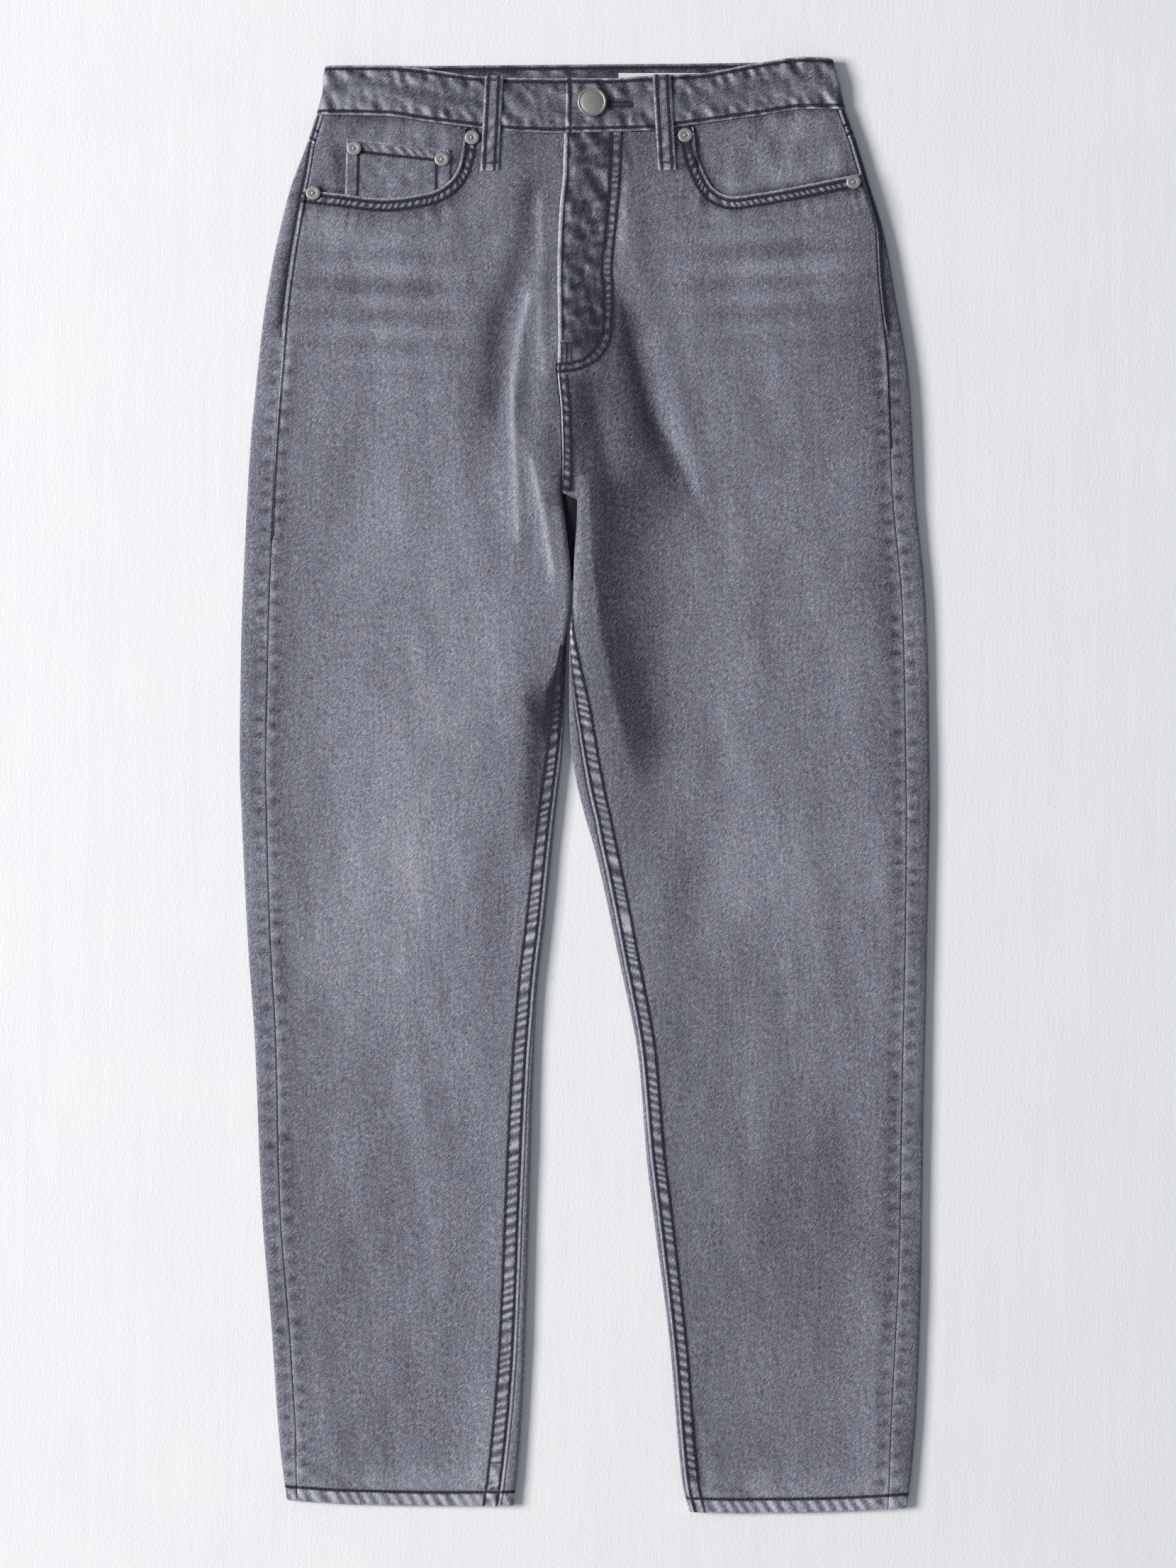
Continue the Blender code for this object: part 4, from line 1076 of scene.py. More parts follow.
# %% Rows of stitches beside the inner edge of a front
INNER_ROWS = {
    # y, first row, second row: distances from the inner edge in mm
    "right": ((460, 3.2, 4.5), (100, 3.2, 4.5), (86, 3.2, 6.2), (53, 3.2, 8.8), (20, 3.2, 10),
              (-100, 3.2, 11), (-490, 3.2, 12)),
    "left": ((460, 5.0, 8.6), (300, 5.0, 8.6), (288, 4.5, 8.6), (282, 2.6, 8.6), (193, 2.3, 8.2),
             (190, -8, -6), (124, -5, 0), (115, -3, 1.5), (100, 0.2, 3.9), (76, 1.2, 7.6),
             (53, 1.9, 10.3), (0, 3.0, 11), (-300, 3.0, 10.0), (-490, 3.0, 9.4)),
}
FLY_INNER = (
    (18, 441), (16.8, 408), (14.4, 378), (12, 347), (13.2, 328), (12.5, 308), (8.6, 297),
    (1.9, 290), (-8.2, 286), (-18.2, 285))
FLY_OUTER = (
    (25.4, 441), (23, 397), (20.2, 374), (18.2, 347), (19.2, 328), (18.2, 307), (14.9, 296),
    (7.2, 287), (-8.2, 281), (-18.2, 280))


def straight_through(rows, column):
    """Straight lines between the rows of a table."""
    table = np.array(sorted(rows), dtype=float)
    return lambda at: np.interp(at, table[:, 0], table[:, column])


def only(shown, distance):
    """A row distance where it shows, and far off on the same side of the row elsewhere."""
    return np.where(shown, distance, np.where(distance < 0, -FAR_OFF, FAR_OFF))


def inner_rows(side):
    """The two distances of the inner rows as functions of y."""
    return straight_through(INNER_ROWS[side], 1), straight_through(INNER_ROWS[side], 2)


HEM_ROW = 9.6
POCKET_ROWS = (2.9, 8.1)
print("rows beside a pocket mouth:", len(POCKET_ROWS))


# %% Grid of a front
def settle(loop, way_at, line, start_y):
    """Heights at which columns, whose way round depends on y, meet a line given by x."""
    y = start_y
    for _ in range(4):
        y = line(loop.point(way_at(y), y)[..., 0])
    return y


def row_heights(hem_y, top_y):
    """Heights of the rows: dense over the hem and below the top edge, crotch between."""
    low_count, high_count = 417, 117
    low = mix(hem_y + EDGE_STEPS[-1], CROTCH_Y, np.linspace(0, 1, low_count + 1)[1:, None])
    high = mix(CROTCH_Y, top_y - EDGE_STEPS[-1], np.linspace(0, 1, high_count + 1)[1:-1, None])
    return np.concatenate([hem_y + EDGE_STEPS[:, None], low, high, top_y - EDGE_STEPS[::-1, None]])


FOLD_SHARES = np.array([0.16, 0.32, 0.47, 0.61, 0.74, 0.86, 0.94, 0.98, 1.0])


def front_grid(side):
    """Ways round and heights of a front's points, and the distances to its edges."""
    s = SIDES[side]
    loop = s["loop"]

    def start(y):
        return loop.along(s["side_seam"](y), y) + HALF_GAP

    def end(y):
        return loop.lengths(y)[0] - s["inseam"](y) - HALF_GAP

    def fold_start(y):
        flat = loop.lengths(y)[0] - QUARTER * loop.radius(y) - 16 * (1 - loop.roll(y))
        return np.minimum(flat, end(y) - 3)

    hem_share = spacing(200, 2.6, more=len(FOLD_SHARES))
    main = len(hem_share)
    fold = len(FOLD_SHARES)

    def ways(y, share):
        flat, rolled = y[..., :main], y[..., main:]
        return np.concatenate([mix(start(flat), fold_start(flat), share),
                               mix(fold_start(rolled), end(rolled), FOLD_SHARES)], axis=-1)

    pocket_columns = int(main * 0.72)
    px, py, walked = walk(s["pocket"], 0.25)
    length = walked[-1]
    at = np.concatenate([EDGE_STEPS, np.linspace(EDGE_STEPS[-1], length,
                                                 pocket_columns - len(EDGE_STEPS) + 2)[1:]])
    pocket_x, pocket_y = np.interp(at, walked, px), np.interp(at, walked, py)
    pocket_way = loop.along(np.abs(pocket_x - loop.outer(pocket_y)), pocket_y)
    at_pocket = (pocket_way - start(pocket_y)) / (fold_start(pocket_y) - start(pocket_y))
    at_pocket[0] = 0
    rest = np.linspace(0, 1, main - len(at_pocket) + 1)[1:]
    top_share = np.concatenate([at_pocket, mix(at_pocket[-1], 1, rest)])
    waist_y = settle(loop, lambda y: ways(y, top_share), waist_front, np.full(main + fold, 443.0))
    top_y = np.concatenate([pocket_y, waist_y[len(pocket_y):]]) - HALF_GAP
    hem_y = settle(loop, lambda y: ways(y, hem_share), s["hem"], np.full(main + fold, -488.0))
    y = row_heights(hem_y, top_y)
    climb = (y[:, :main] - 100) / (top_y[:main] - 100)
    way = ways(y, mix(hem_share, top_share, ease(climb, 0, 1)))
    return {"way": way, "y": y, "side": way - start(y), "inner": end(y) - way,
            "hem": y - hem_y, "top": top_y - y}


# %% Wear of the hems, and wear and painted shade of the pocket mouths and the fly
def hem_puckers(x, hem, seed):
    """Waves of the turned hem, their turns, and 1 within the turning."""
    wave, turns = puckers(x + 0.6 * hem, 8.6, seed, 0.2)
    return wave, turns, window(hem, 0.8, HEM_ROW - 0.8, 1.6)


def mouth_wear_and_shade(side, x, y, to_top):
    """Distance to the pocket mouth, relief and tone beside it, and its rope with the turns."""
    s = SIDES[side]
    pocket, along = beside_path(s["pocket"], x, y)
    pocket = np.abs(pocket)
    beside_mouth = s["sign"] * (x - s["pocket"][-1][0]) > 0.5
    pocket = np.where(beside_mouth | (pocket < 30), pocket, FAR_OFF)
    rope, turns = puckers(along + 0.5 * pocket, 4.3, 51 + len(side), 0.25)
    in_rope = window(pocket, POCKET_ROWS[0] + 0.6, POCKET_ROWS[1] - 0.6, 1.0)
    below, _ = puckers(along, 8.4, 61 + len(side), 0.4)
    near_top = ease(to_top, 40, 25)
    relief = (rounded(pocket, 0.5, 1.1) * ease(to_top, 60, 40) + 0.10 * rope * in_rope
              + 0.24 * below * bell(pocket, 14, 7) * near_top)
    # Tone beside the mouth: it follows the puckers below the rows, a band below the second row is painted
    # dark as shade, and the rope between the rows is a little darker.
    tone = (0.12 * below * bell(pocket, 15, 8) - 0.14 * bell(pocket, 10.5, 4.0)) * near_top
    return pocket, relief, tone - 0.06 * in_rope, in_rope, turns


def fly_wear_and_shade(x, y, to_inner, ladder):
    """Relief and tone of the fly: its rope, its crumpled flap, and the painted shadow at the foot of the
    rise.
    """
    fly_in, along = beside_path(FLY_INNER, x, y)
    fly_out, _ = beside_path(FLY_OUTER, x, y)
    above = ease(y, 276, 282)
    between = window(fly_out, -6.0, -0.6, 1.0) * window(fly_in, 0.4, 8, 0.8) * above
    rope, turns = puckers(along, 5.2, 81, 0.3)
    flap = ease(fly_in, 1.0, -1.0) * ease(to_inner, 4, 6) * ease(y, 284, 296)
    lumps = 0.5 * waves(x, y, 10, 83) + 0.9 * streaks(x, y, 124, 10, 85)
    beyond = bell(fly_out, 4, 5) * above * streaks(x, y, 105, 9, 87)
    # Painted shadow where the foot of the rise goes down into the gap between the legs.
    shadow_into_gap = ease(y, 216, 198) * ease(to_inner, 12, 8) * (y > CROTCH_Y + 0.5)
    beside_row = bell(to_inner, 8.4, 2.4) * (0.19 + 0.07 * ladder)
    relief = flap * 0.5 * lumps + between * (0.1 + 0.24 * rope) + 0.20 * beyond
    tone = (flap * (-0.20 + 0.17 * lumps + beside_row) + between * (-0.06 + 0.19 * rope)
            - 0.5 * shadow_into_gap + 0.05 * beyond - 0.10 * bell(fly_in, 1.6, 1.6) * flap
            - 0.16 * bell(y, 300.5, 1.7) * window(x, -17, 12, 2))
    rows = three(only(y > 276, fly_in), only(y > 276, fly_out))
    return {"relief": relief, "tone": tone, "between": between, "turns": turns, "flap": flap,
            "rows": rows}


# %% Fronts
def front_panel(side, material):
    """Front of one leg: base surface, then rolled edges, ropes, puckers and dimples."""
    s = SIDES[side]
    g = front_grid(side)
    y = g["y"]
    face = s["loop"].point(g["way"], y, front_lift(side))
    x = face[..., 0]
    pocket, mouth_relief, mouth_tone, in_rope, rope_turns = mouth_wear_and_shade(side, x, y, g["top"])
    row_one, row_two = (row_at(y) for row_at in inner_rows(side))
    shows = ease(y, s["inseam_shows_below"] + 12, s["inseam_shows_below"] - 12)
    rise_part = window(y, 198, 280, 4) * (y > CROTCH_Y + 0.5) if side == "left" else 0 * y
    felled = window(g["inner"], row_one, row_two, 1.4) * np.maximum(shows, rise_part)
    ladder, ladder_turns = puckers(y + 0.35 * g["inner"], 6.4, 21 + len(side))
    side_relief, side_tone = side_puckers(y, g["side"], side)
    hem_wave, hem_turns, in_hem = hem_puckers(x, g["hem"], 41 + len(side))
    ridge = bell(g["inner"], 1.3, 1.1) * np.maximum(shows, rise_part)
    fly_ridge = bell(g["inner"], 2.7, 2.3) * (ease(y, 284, 292) if side == "left" else 0)
    relief = (
        rounded(g["side"]) + rounded(g["inner"]) + rounded(g["hem"], 0.6, 1.2)
        + mouth_relief + side_relief + 0.40 * ridge + 0.35 * fly_ridge
        + felled * (0.18 + 0.26 * ladder) + 0.10 * ladder * bell(g["inner"], row_two + 2, 4) * shows
        + 0.26 * hem_wave * in_hem + 0.10 * hem_wave * bell(g["hem"], HEM_ROW + 3, 3)
        + 0.03 * waves(x, y, 7.5, 71, 1.3))
    tone = (
        leg_tone(x, y, side) + mouth_tone + side_tone + 0.30 * ridge + 0.24 * fly_ridge
        + felled * (0.03 + 0.17 * ladder) + 0.08 * bell(g["side"], 1.2, 1.6)
        + 0.16 * bell(g["side"], 2, 3) * window(y, 266, 306, 20)
        - 0.06 * bell(g["side"], 7, 5) * ease(y, SIDE_TACK_Y + 10, SIDE_TACK_Y - 22)
        + 0.14 * hem_wave * in_hem + 0.11 * in_hem + 0.09 * bell(g["hem"], 14, 14))
    turns = np.where(in_rope > 0, rope_turns, np.where(g["hem"] < 30, hem_turns, ladder_turns))
    strength = np.maximum(in_rope * 1.6, np.maximum(in_hem * 0.8, felled * 0.8))
    rise_rows = (y > CROTCH_Y + 0.5) & (side == "left")
    inner_one = only((shows > 0.3) | rise_rows, g["inner"] - row_one)
    inner_two = only((shows > 0.3) | (rise_rows & (y < 280)), g["inner"] - row_two)
    worn_edge = np.minimum(np.minimum(pocket, g["hem"] + 0.4), FAR_OFF)
    mottled = 0.0
    facts = {"rows_a": three(pocket - POCKET_ROWS[0], pocket - POCKET_ROWS[1], g["hem"] - HEM_ROW)}
    if side == "left":
        fly = fly_wear_and_shade(x, y, g["inner"], ladder)
        relief = relief + fly["relief"]
        tone = tone + fly["tone"]
        mottled = fly["flap"] * 0.2
        worn_edge = np.minimum(worn_edge, np.where(y > CROTCH_Y + 2, g["inner"] * 0.6, FAR_OFF))
        turns = np.where(fly["between"] > 0, fly["turns"], turns)
        strength = np.maximum(strength, fly["between"] * 0.6)
        facts["rows_c"] = fly["rows"]
        in_tack = window(y, 285, 300, 1) * window(x, -17.2, -8.2, 1)
        inner_one = only(in_tack <= 0.5, inner_one)
    facts["rows_b"] = three(inner_one, inner_two)
    facts["marks"] = three(worn_edge, tone, mottled)
    facts["rope"] = three(turns, strength, rest=0.0)
    thing = cloth("cloth_front_" + side, face, cloth_wall(y), s["loop"].inward, material, relief, facts)
    declare(thing, "front_" + side)


# %% [markdown]
# ## The backs and the yokes
# Each back lies under its leg, rolls round the outer fold and comes over the top to the side
# seam, so the strip beside the leg's outline is back, not front. Beneath, it is flat where it
# rests. The yoke does the same above it, and its stitching shows at the side.

# %% Grid of what lies beneath
def seam_way(loop, side_seam, y):
    """Way round to the back's edge on top, past the outer fold."""
    upper, lower = loop.lengths(y)
    return upper + lower + loop.along(side_seam(y), y) - HALF_GAP


def beneath_ways(loop, side_seam, first, y, counts=(12, 23, 12)):
    """Ways round from the inner end beneath and up over the outer fold to the side seam.

    The counts and the columns at the seam add up to a number of thirds, as the cloth's back needs.
    """
    upper, lower = loop.lengths(y)
    quarter = QUARTER * loop.radius(y)
    anchors = (first, upper + quarter + 25 * (1 - loop.roll(y)), upper + lower - quarter,
               upper + lower + quarter * 0.7)
    ways = [anchors[0]]
    for one, other, count in zip(anchors, anchors[1:], counts):
        ways += [mix(one, other, step / count) for step in range(1, count + 1)]
    last = seam_way(loop, side_seam, y)
    return ways + [mix(anchors[-1], last, share) for share in 1 - EDGE_STEPS[6::-1] / 7.5]


def column_grid(loop, side_seam, first, row_ys):
    """Ways round for a grid whose columns have their own heights."""
    columns = np.arange(row_ys.shape[1])
    return np.stack(beneath_ways(loop, side_seam, first(row_ys), row_ys), axis=-1)[:, columns, columns]


def seam_heights(loop, side_seam, first, line, start_y):
    """Heights where each column of the beneath grid meets a seam line that is given by x."""
    count = len(beneath_ways(loop, side_seam, first(start_y), start_y))
    start = np.full(count, float(start_y))
    return settle(loop, lambda y: column_grid(loop, side_seam, first, y[None, :])[0], line, start)


def inner_start(loop, inseam):
    """Way round to the inner end of the back: just past the inseam or the back rise."""
    return lambda y: loop.lengths(y)[0] - inseam(y) + HALF_GAP


print("columns beneath a leg:", len(beneath_ways(RIGHT, through(SIDE_SEAM_RIGHT), 200.0, 0.0)))


# %% Backs
SIDE_ROW = 2.9


def side_strip(side, y, to_seam):
    """Relief, tone and row distance of the strip beside the side seam on top."""
    below_relief, below_tone = side_puckers(y, to_seam, side, 6.2)
    upper = ease(y, SIDE_TACK_Y - 3, SIDE_TACK_Y + 3)
    ridge = upper * bell(to_seam, 1.0, 1.3)
    ropes, _ = puckers(y, 9.5, 35 + len(side))
    relief = rounded(to_seam) + below_relief + 0.40 * ridge
    # A dip beside the seam, painted dark as the shadow in it.
    shaded_furrow = upper * bell(to_seam, 4.4, 1.7) * ease(y, 450, 340)
    relief = relief + 0.14 * upper * ropes * bell(to_seam, 6.5, 3) - 0.5 * shaded_furrow
    tone = (below_tone + 0.22 * ridge - 0.30 * shaded_furrow + 0.08 * bell(to_seam, 1.2, 1.6)
            - 0.06 * upper * bell(to_seam, 7, 4) * (1 - ropes))
    row = np.where(y > SIDE_TACK_Y + 3, to_seam - SIDE_ROW, FAR_OFF)
    return relief, tone, row


def back_panel(side, material):
    """Back of one leg: flat beneath, with the side strip on top and a plain hem."""
    s = SIDES[side]
    loop = s["loop"]
    first = inner_start(loop, s["inseam"])
    hem_y = seam_heights(loop, s["side_seam"], first, s["hem"], -488.0)
    top_y = seam_heights(loop, s["side_seam"], first, s["yoke"], 420.0) - HALF_GAP
    y = row_heights(hem_y, top_y)
    way = column_grid(loop, s["side_seam"], first, y)
    face = loop.point(way, y)
    x = face[..., 0]
    to_seam = seam_way(loop, s["side_seam"], y) - way
    on_top = ease(to_seam, 30, 20)
    to_inner = way - first(y)
    hem = y - hem_y
    beneath = 1 - on_top
    strip_relief, strip_tone, strip_row = side_strip(side, y, to_seam)
    hem_wave, hem_turns, in_hem = hem_puckers(x, hem, 45 + len(side))
    groove = bell(hem, HEM_ROW, 1.2) * beneath
    relief = (strip_relief * on_top + 0.22 * hem_wave * in_hem * on_top - 0.3 * groove
              + rounded(hem, 0.6, 1.2) * on_top + rounded(to_inner, 0.4, 1.0)
              + rounded(top_y - y, 0.4, 1.0) * on_top)
    tone = (leg_tone(x, y, side) * (0.3 + 0.7 * on_top) + strip_tone * on_top
            + in_hem * (0.09 + 0.13 * hem_wave) + 0.07 * bell(hem, 14, 14) * on_top
            + 0.05 * beneath * bell(x / 100, s["sign"] * 1.2, 0.6)
            - 0.02 * on_top)
    facts = {
        "rows_a": three(np.where(on_top > 0.5, strip_row, FAR_OFF), hem - HEM_ROW),
        "marks": three(hem + 0.4, tone, rest=0.0),
        "rope": three(hem_turns, in_hem * 0.5, rest=0.0),
    }
    thing = cloth("cloth_back_" + side, face, cloth_wall(y), loop.inward, material, relief, facts)
    declare(thing, "back_" + side)


# %% Yokes
YOKE_ROWS = (2.6, 8.4)


def yoke_panel(side, material):
    """Yoke from the back's top seam up to the waistband, round to the side seam."""
    s = SIDES[side]
    loop = s["loop"]
    first = inner_start(loop, s["inseam"])
    foot_y = seam_heights(loop, s["side_seam"], first, s["yoke"], 420.0) + HALF_GAP
    top_y = seam_heights(loop, s["side_seam"], first, waist_back, 453.0) - HALF_GAP
    share = spacing(60, 1.8, EDGE_STEPS[:8], EDGE_STEPS[:8])
    y = mix(foot_y, top_y, share[:, None])
    way = column_grid(loop, s["side_seam"], first, y)
    face = loop.point(way, y)
    x = face[..., 0]
    to_seam = seam_way(loop, s["side_seam"], y) - way
    on_top = ease(to_seam, 30, 20)
    foot = y - foot_y
    strip_relief, strip_tone, strip_row = side_strip(side, y, to_seam)
    relief = strip_relief * on_top + rounded(foot, 0.5, 1.1) + rounded(top_y - y, 0.4, 1.0)
    relief = relief - 0.2 * (bell(foot, YOKE_ROWS[0], 1.0) + bell(foot, YOKE_ROWS[1], 1.0))
    facts = {
        "rows_a": three(np.where(on_top > 0.5, strip_row, FAR_OFF), foot - YOKE_ROWS[0],
                        foot - YOKE_ROWS[1]),
        "marks": three(foot, leg_tone(x, y, side) + strip_tone * on_top - 0.02, rest=0.0),
    }
    thing = cloth("cloth_yoke_" + side, face, CLOTH, loop.inward, material, relief, facts)
    declare(thing, "yoke_" + side)


for side in SIDES:
    front_panel(side, denim_body)
    back_panel(side, denim_body)
    yoke_panel(side, denim_body)

# %% [markdown]
# ## What shows in the pocket mouths, and behind the fly
# The mouths are cut out of the fronts, so the cloth sewn behind them shows. On the right a coin
# pocket is sewn on it first, with a band of small diagonal puckers under its turned top edge.

# %% Pieces laid on a loop
def on_top_face(loop, x, y, lift=None):
    """Face of a piece that lies on the top, at given places, lifted off the loop's face."""
    way = loop.along(np.abs(x - loop.outer(y)), y)
    return loop.point(way, y, lift)


def pocket_facing(side, material):
    """Cloth that shows in the pocket mouth, and runs on beneath the front."""
    s = SIDES[side]
    loop, away, pocket = s["loop"], s["sign"], s["pocket"]
    share = spacing(110, 1.9, EDGE_STEPS[:6], EDGE_STEPS[:1])[None, :]
    rise = spacing(62, 1.9, EDGE_STEPS[:1], EDGE_STEPS[:6])[:, None]
    low = mix(pocket[2][1] - 9, pocket[4][1] + 12, ease(share, 0.72, 1)) + 0 * rise
    y = mix(low, 450.0, rise)
    for _ in range(4):
        x = mix(loop.outer(y) - away * (s["side_seam"](y) + SEAM_GAP), pocket[-1][0] - away * 14, share)
        y = mix(low, waist_front(x) - HALF_GAP, rise)
    face = on_top_face(loop, x, y)
    to_side = np.abs(x - x[:, :1])
    to_waist = y[-1:, :] - y
    depth = np.abs(beside_path(pocket, x, y)[0])
    uneven = waves(x, y, 14, 91 + len(side), 2.4)
    relief = rounded(to_side) + rounded(to_waist, 0.4, 1.0) + 0.10 * uneven
    # Painted shade: darker under the front's edge along the mouth and under the band at the waist, and on
    # the right a painted shadow beside the coin pocket.
    tone = 0.02 + 0.05 * uneven - 0.20 * bell(depth, 0, 3.2) - 0.16 * bell(to_waist, 0, 4)
    if side == "right":
        tone = tone - 0.16 * bell(x, -166, 4.5) * window(y, 396, 432, 12)
    tone = tone + 0.05 * bell(to_side, 1.2, 1.6) - 0.05 * bell(to_side, 7, 4)
    facts = {"marks": three(FAR_OFF, tone, rest=0.0)}
    thing = cloth("cloth_pocket_facing_" + side, face, CLOTH, loop.inward, material, relief, facts)
    declare(thing, "pocket_facing_" + side)


COIN_ROW = 8.0
COIN_SIDE_ROWS = (8.3, 9.0)
COIN_FOOT_Y = 390
COIN_FOOT_X = (-162.2, -91.5)
COIN_TOP_X = (-160.8, -91)
COIN_TOP_Y = (437.5, 430)


def coin_pocket(material):
    """Small pocket on the right facing; its foot goes beneath the front."""
    share = spacing(70, 1.5, EDGE_STEPS[:8], EDGE_STEPS[:8])[None, :]
    rise = spacing(47, 1.5, EDGE_STEPS[:1], EDGE_STEPS[:8])[:, None]
    x = mix(mix(*COIN_FOOT_X, share), mix(*COIN_TOP_X, share), rise)
    y = mix(COIN_FOOT_Y, mix(*COIN_TOP_Y, share), rise)
    face = on_top_face(RIGHT, x, y, coin_lift)
    to_left, to_right, to_top = x - x[:, :1], x[:, -1:] - x, y[-1:, :] - y
    band = window(to_top, 1.8, COIN_ROW - 0.8, 1.2)
    wave, turns = puckers(x - 0.9 * to_top, 7.0, 101, 0.25)
    relief = rounded(to_left, 0.5) + rounded(to_right, 0.5) + rounded(to_top, 0.5)
    relief = relief + 0.22 * wave * band
    tone = -0.02 + band * (0.02 + 0.12 * wave) + 0.04 * waves(x, y, 12, 103)
    below_row = to_top > COIN_ROW
    facts = {
        "rows_a": three(to_top - COIN_ROW, np.where(below_row, to_left - COIN_SIDE_ROWS[0], FAR_OFF),
                        np.where(below_row, to_right - COIN_SIDE_ROWS[1], FAR_OFF)),
        "marks": three(np.minimum(np.minimum(to_left, to_right), to_top) + 0.5, tone, rest=0.0),
        "rope": three(turns, band * 0.7, rest=0.0),
    }
    thing = cloth("cloth_coin_pocket", face, CLOTH, RIGHT.inward, material, relief, facts)
    declare(thing, "coin_pocket")


def fly_shield(material):
    """Strip behind the fly, sewn to the right front's edge and beneath the left front."""
    share = spacing(21, 2.2, EDGE_STEPS[:3], EDGE_STEPS[:3])[None, :]
    rise = spacing(137, 3.0, EDGE_STEPS[:1], EDGE_STEPS[:1])[:, None]
    y = mix(304.0, 441.0, rise) + 0 * share
    x = front_rise(y) + 10 + SEAM_GAP + 21 * (1 - share)
    y = np.minimum(y, waist_front(x) - HALF_GAP)
    face = on_top_face(LEFT, x, y)
    thing = cloth("cloth_fly_shield", face, CLOTH, LEFT.inward, material)
    declare(thing, "fly_shield")


for side in SIDES:
    pocket_facing(side, denim_inside)
coin_pocket(denim_body)
fly_shield(denim_inside)

# %% [markdown]
# ## The waistband
# The band is one strip, cut along the cloth so that its twill lies flatter than the legs'. It
# starts under the fly with the button, goes round the back, where its inside shows over the
# lower front edge, and ends on top with the buttonhole.

# %% The band
HOLE_X, HOLE_Y, HOLE_LONG, HOLE_TALL = 23.5, 460.2, 9.2, 1.5
BAND_HEAD_ROW = 2.7
BAND_FOOT_ROW = 2.5
BAND_END_ROW = 3.0
BAND_MID_Y = 470.0


def band_ways(lower):
    """Ways round the band at mid height of its columns, from its button end to its last one."""
    quarter = float(QUARTER * WAIST.radius(BAND_MID_Y))
    button_end = float(WAIST.along(BUTTON_END_X - WAIST.outer(BAND_MID_Y), BAND_MID_Y))
    hole_end = float(WAIST.along(WAIST.front_inner(BAND_MID_Y) - BUTTONHOLE_END_X, BAND_MID_Y))
    anchors = (button_end, quarter, -quarter, quarter - lower, -quarter - lower)
    ways = [np.array([button_end])]
    for one, other, step in zip(anchors, anchors[1:], (2.0, 1.3, 2.6, 1.3)):
        count = int(abs(other - one) / step)
        ways.append(mix(one, other, np.arange(1, count + 1) / count))
    so_far = sum(len(part) for part in ways)
    last_run = spacing(abs(hole_end - quarter), 2.0, EDGE_STEPS[:1], EDGE_STEPS[:6], so_far - 1)
    ways.append(mix(anchors[-1], -hole_end - lower, last_run[1:]))
    return np.concatenate(ways)[None, :]


def band_grid():
    """Face of the band, which columns lie beneath, and the distances to head, foot and end."""
    upper, lower = (float(value) for value in WAIST.lengths(BAND_MID_Y))
    way_mid = band_ways(lower)
    rise = spacing(36, 1.3, EDGE_STEPS[:8], EDGE_STEPS[:8])[:, None]
    last = way_mid < -lower
    beneath = (way_mid < 0) & ~last
    y = mix(454.0, 488.0, rise) + 0 * way_mid
    for _ in range(4):
        now_upper, now_lower = WAIST.lengths(y)
        stretch = np.where(last, -now_lower + (way_mid + lower) * now_upper / upper,
                           np.where(beneath, way_mid * now_lower / lower, way_mid * now_upper / upper))
        x = WAIST.point(stretch, y)[..., 0]
        foot = np.where(beneath, waist_back(x), waist_front(x)) + HALF_GAP
        head = np.where(beneath, top_back(x), top_front(x))
        y = mix(foot, head, rise)
    lapped = np.broadcast_to(last, y.shape)
    face = WAIST.point(stretch, y, lambda x, y: np.where(lapped, band_lap(x), 0))
    return face, beneath, head - y, y - foot, np.abs(way_mid - way_mid[0, -1]) + 0 * y


def waistband(material):
    """Band from its button end under the fly, round the back, to its buttonhole end on top."""
    face, beneath, to_head, to_foot, to_end = band_grid()
    x, y = face[..., 0], face[..., 1]
    shows = np.where(beneath, 0.0, 1.0)
    wave, turns = puckers(x + 0.5 * to_foot, 9.0, 111, 0.3)
    slanting = streaks(x, y, 118, 8, 113)
    crumpled = np.maximum(bell(to_foot, 6, 6), bell(to_head, 6, 6))
    relief = (rounded(to_head, 0.6, 1.3) + rounded(to_foot, 0.5, 1.1) + rounded(to_end, 0.6, 1.3)
              + shows * (0.20 * wave * bell(to_foot, 5.5, 3) + 0.18 * wave * bell(to_head, 5.5, 3)
                         + (0.16 + 0.34 * crumpled) * slanting))
    relief = np.where(beneath, np.minimum(relief, 0.0), relief)
    # Painted shadow round the buttonhole: the band is darkened there.
    buttonhole_shadow = window(x, HOLE_X - 12, HOLE_X + HOLE_LONG, 1.5) * bell(y, HOLE_Y, 3.4)
    tone = (-0.08 + 0.13 * bell(x, -152, 34) + 0.02 * waves(x, y, 26, 115, 0.7)
            + (0.045 + 0.125 * crumpled) * slanting
            + band_creases(x, y, 3) * shows + 0.06 * bell(to_foot, 3.8, 1.4) - 0.40 * buttonhole_shadow
            - 0.06 * bell(to_head, 5.5, 3) + 0.08 * wave * (bell(to_foot, 6, 3.5) + bell(to_head, 6, 3)))
    facts = {
        "rows_a": three(to_head - BAND_HEAD_ROW, to_foot - BAND_FOOT_ROW, to_end - BAND_END_ROW),
        "marks": three(np.minimum(np.minimum(to_head, to_foot + 0.5), to_end), tone, rest=0.0),
        "rope": three(turns, 0.35 * shows * (bell(to_foot, 5, 2) + bell(to_head, 5, 2)), rest=0.0),
    }
    # The band's inside is painted darker than other cloth's, as the shade inside the back of the band.
    thing = cloth("cloth_waistband", face, BAND, -WAIST.inward, material, relief, facts, -0.14)
    declare(thing, "waistband")


waistband(denim_band)


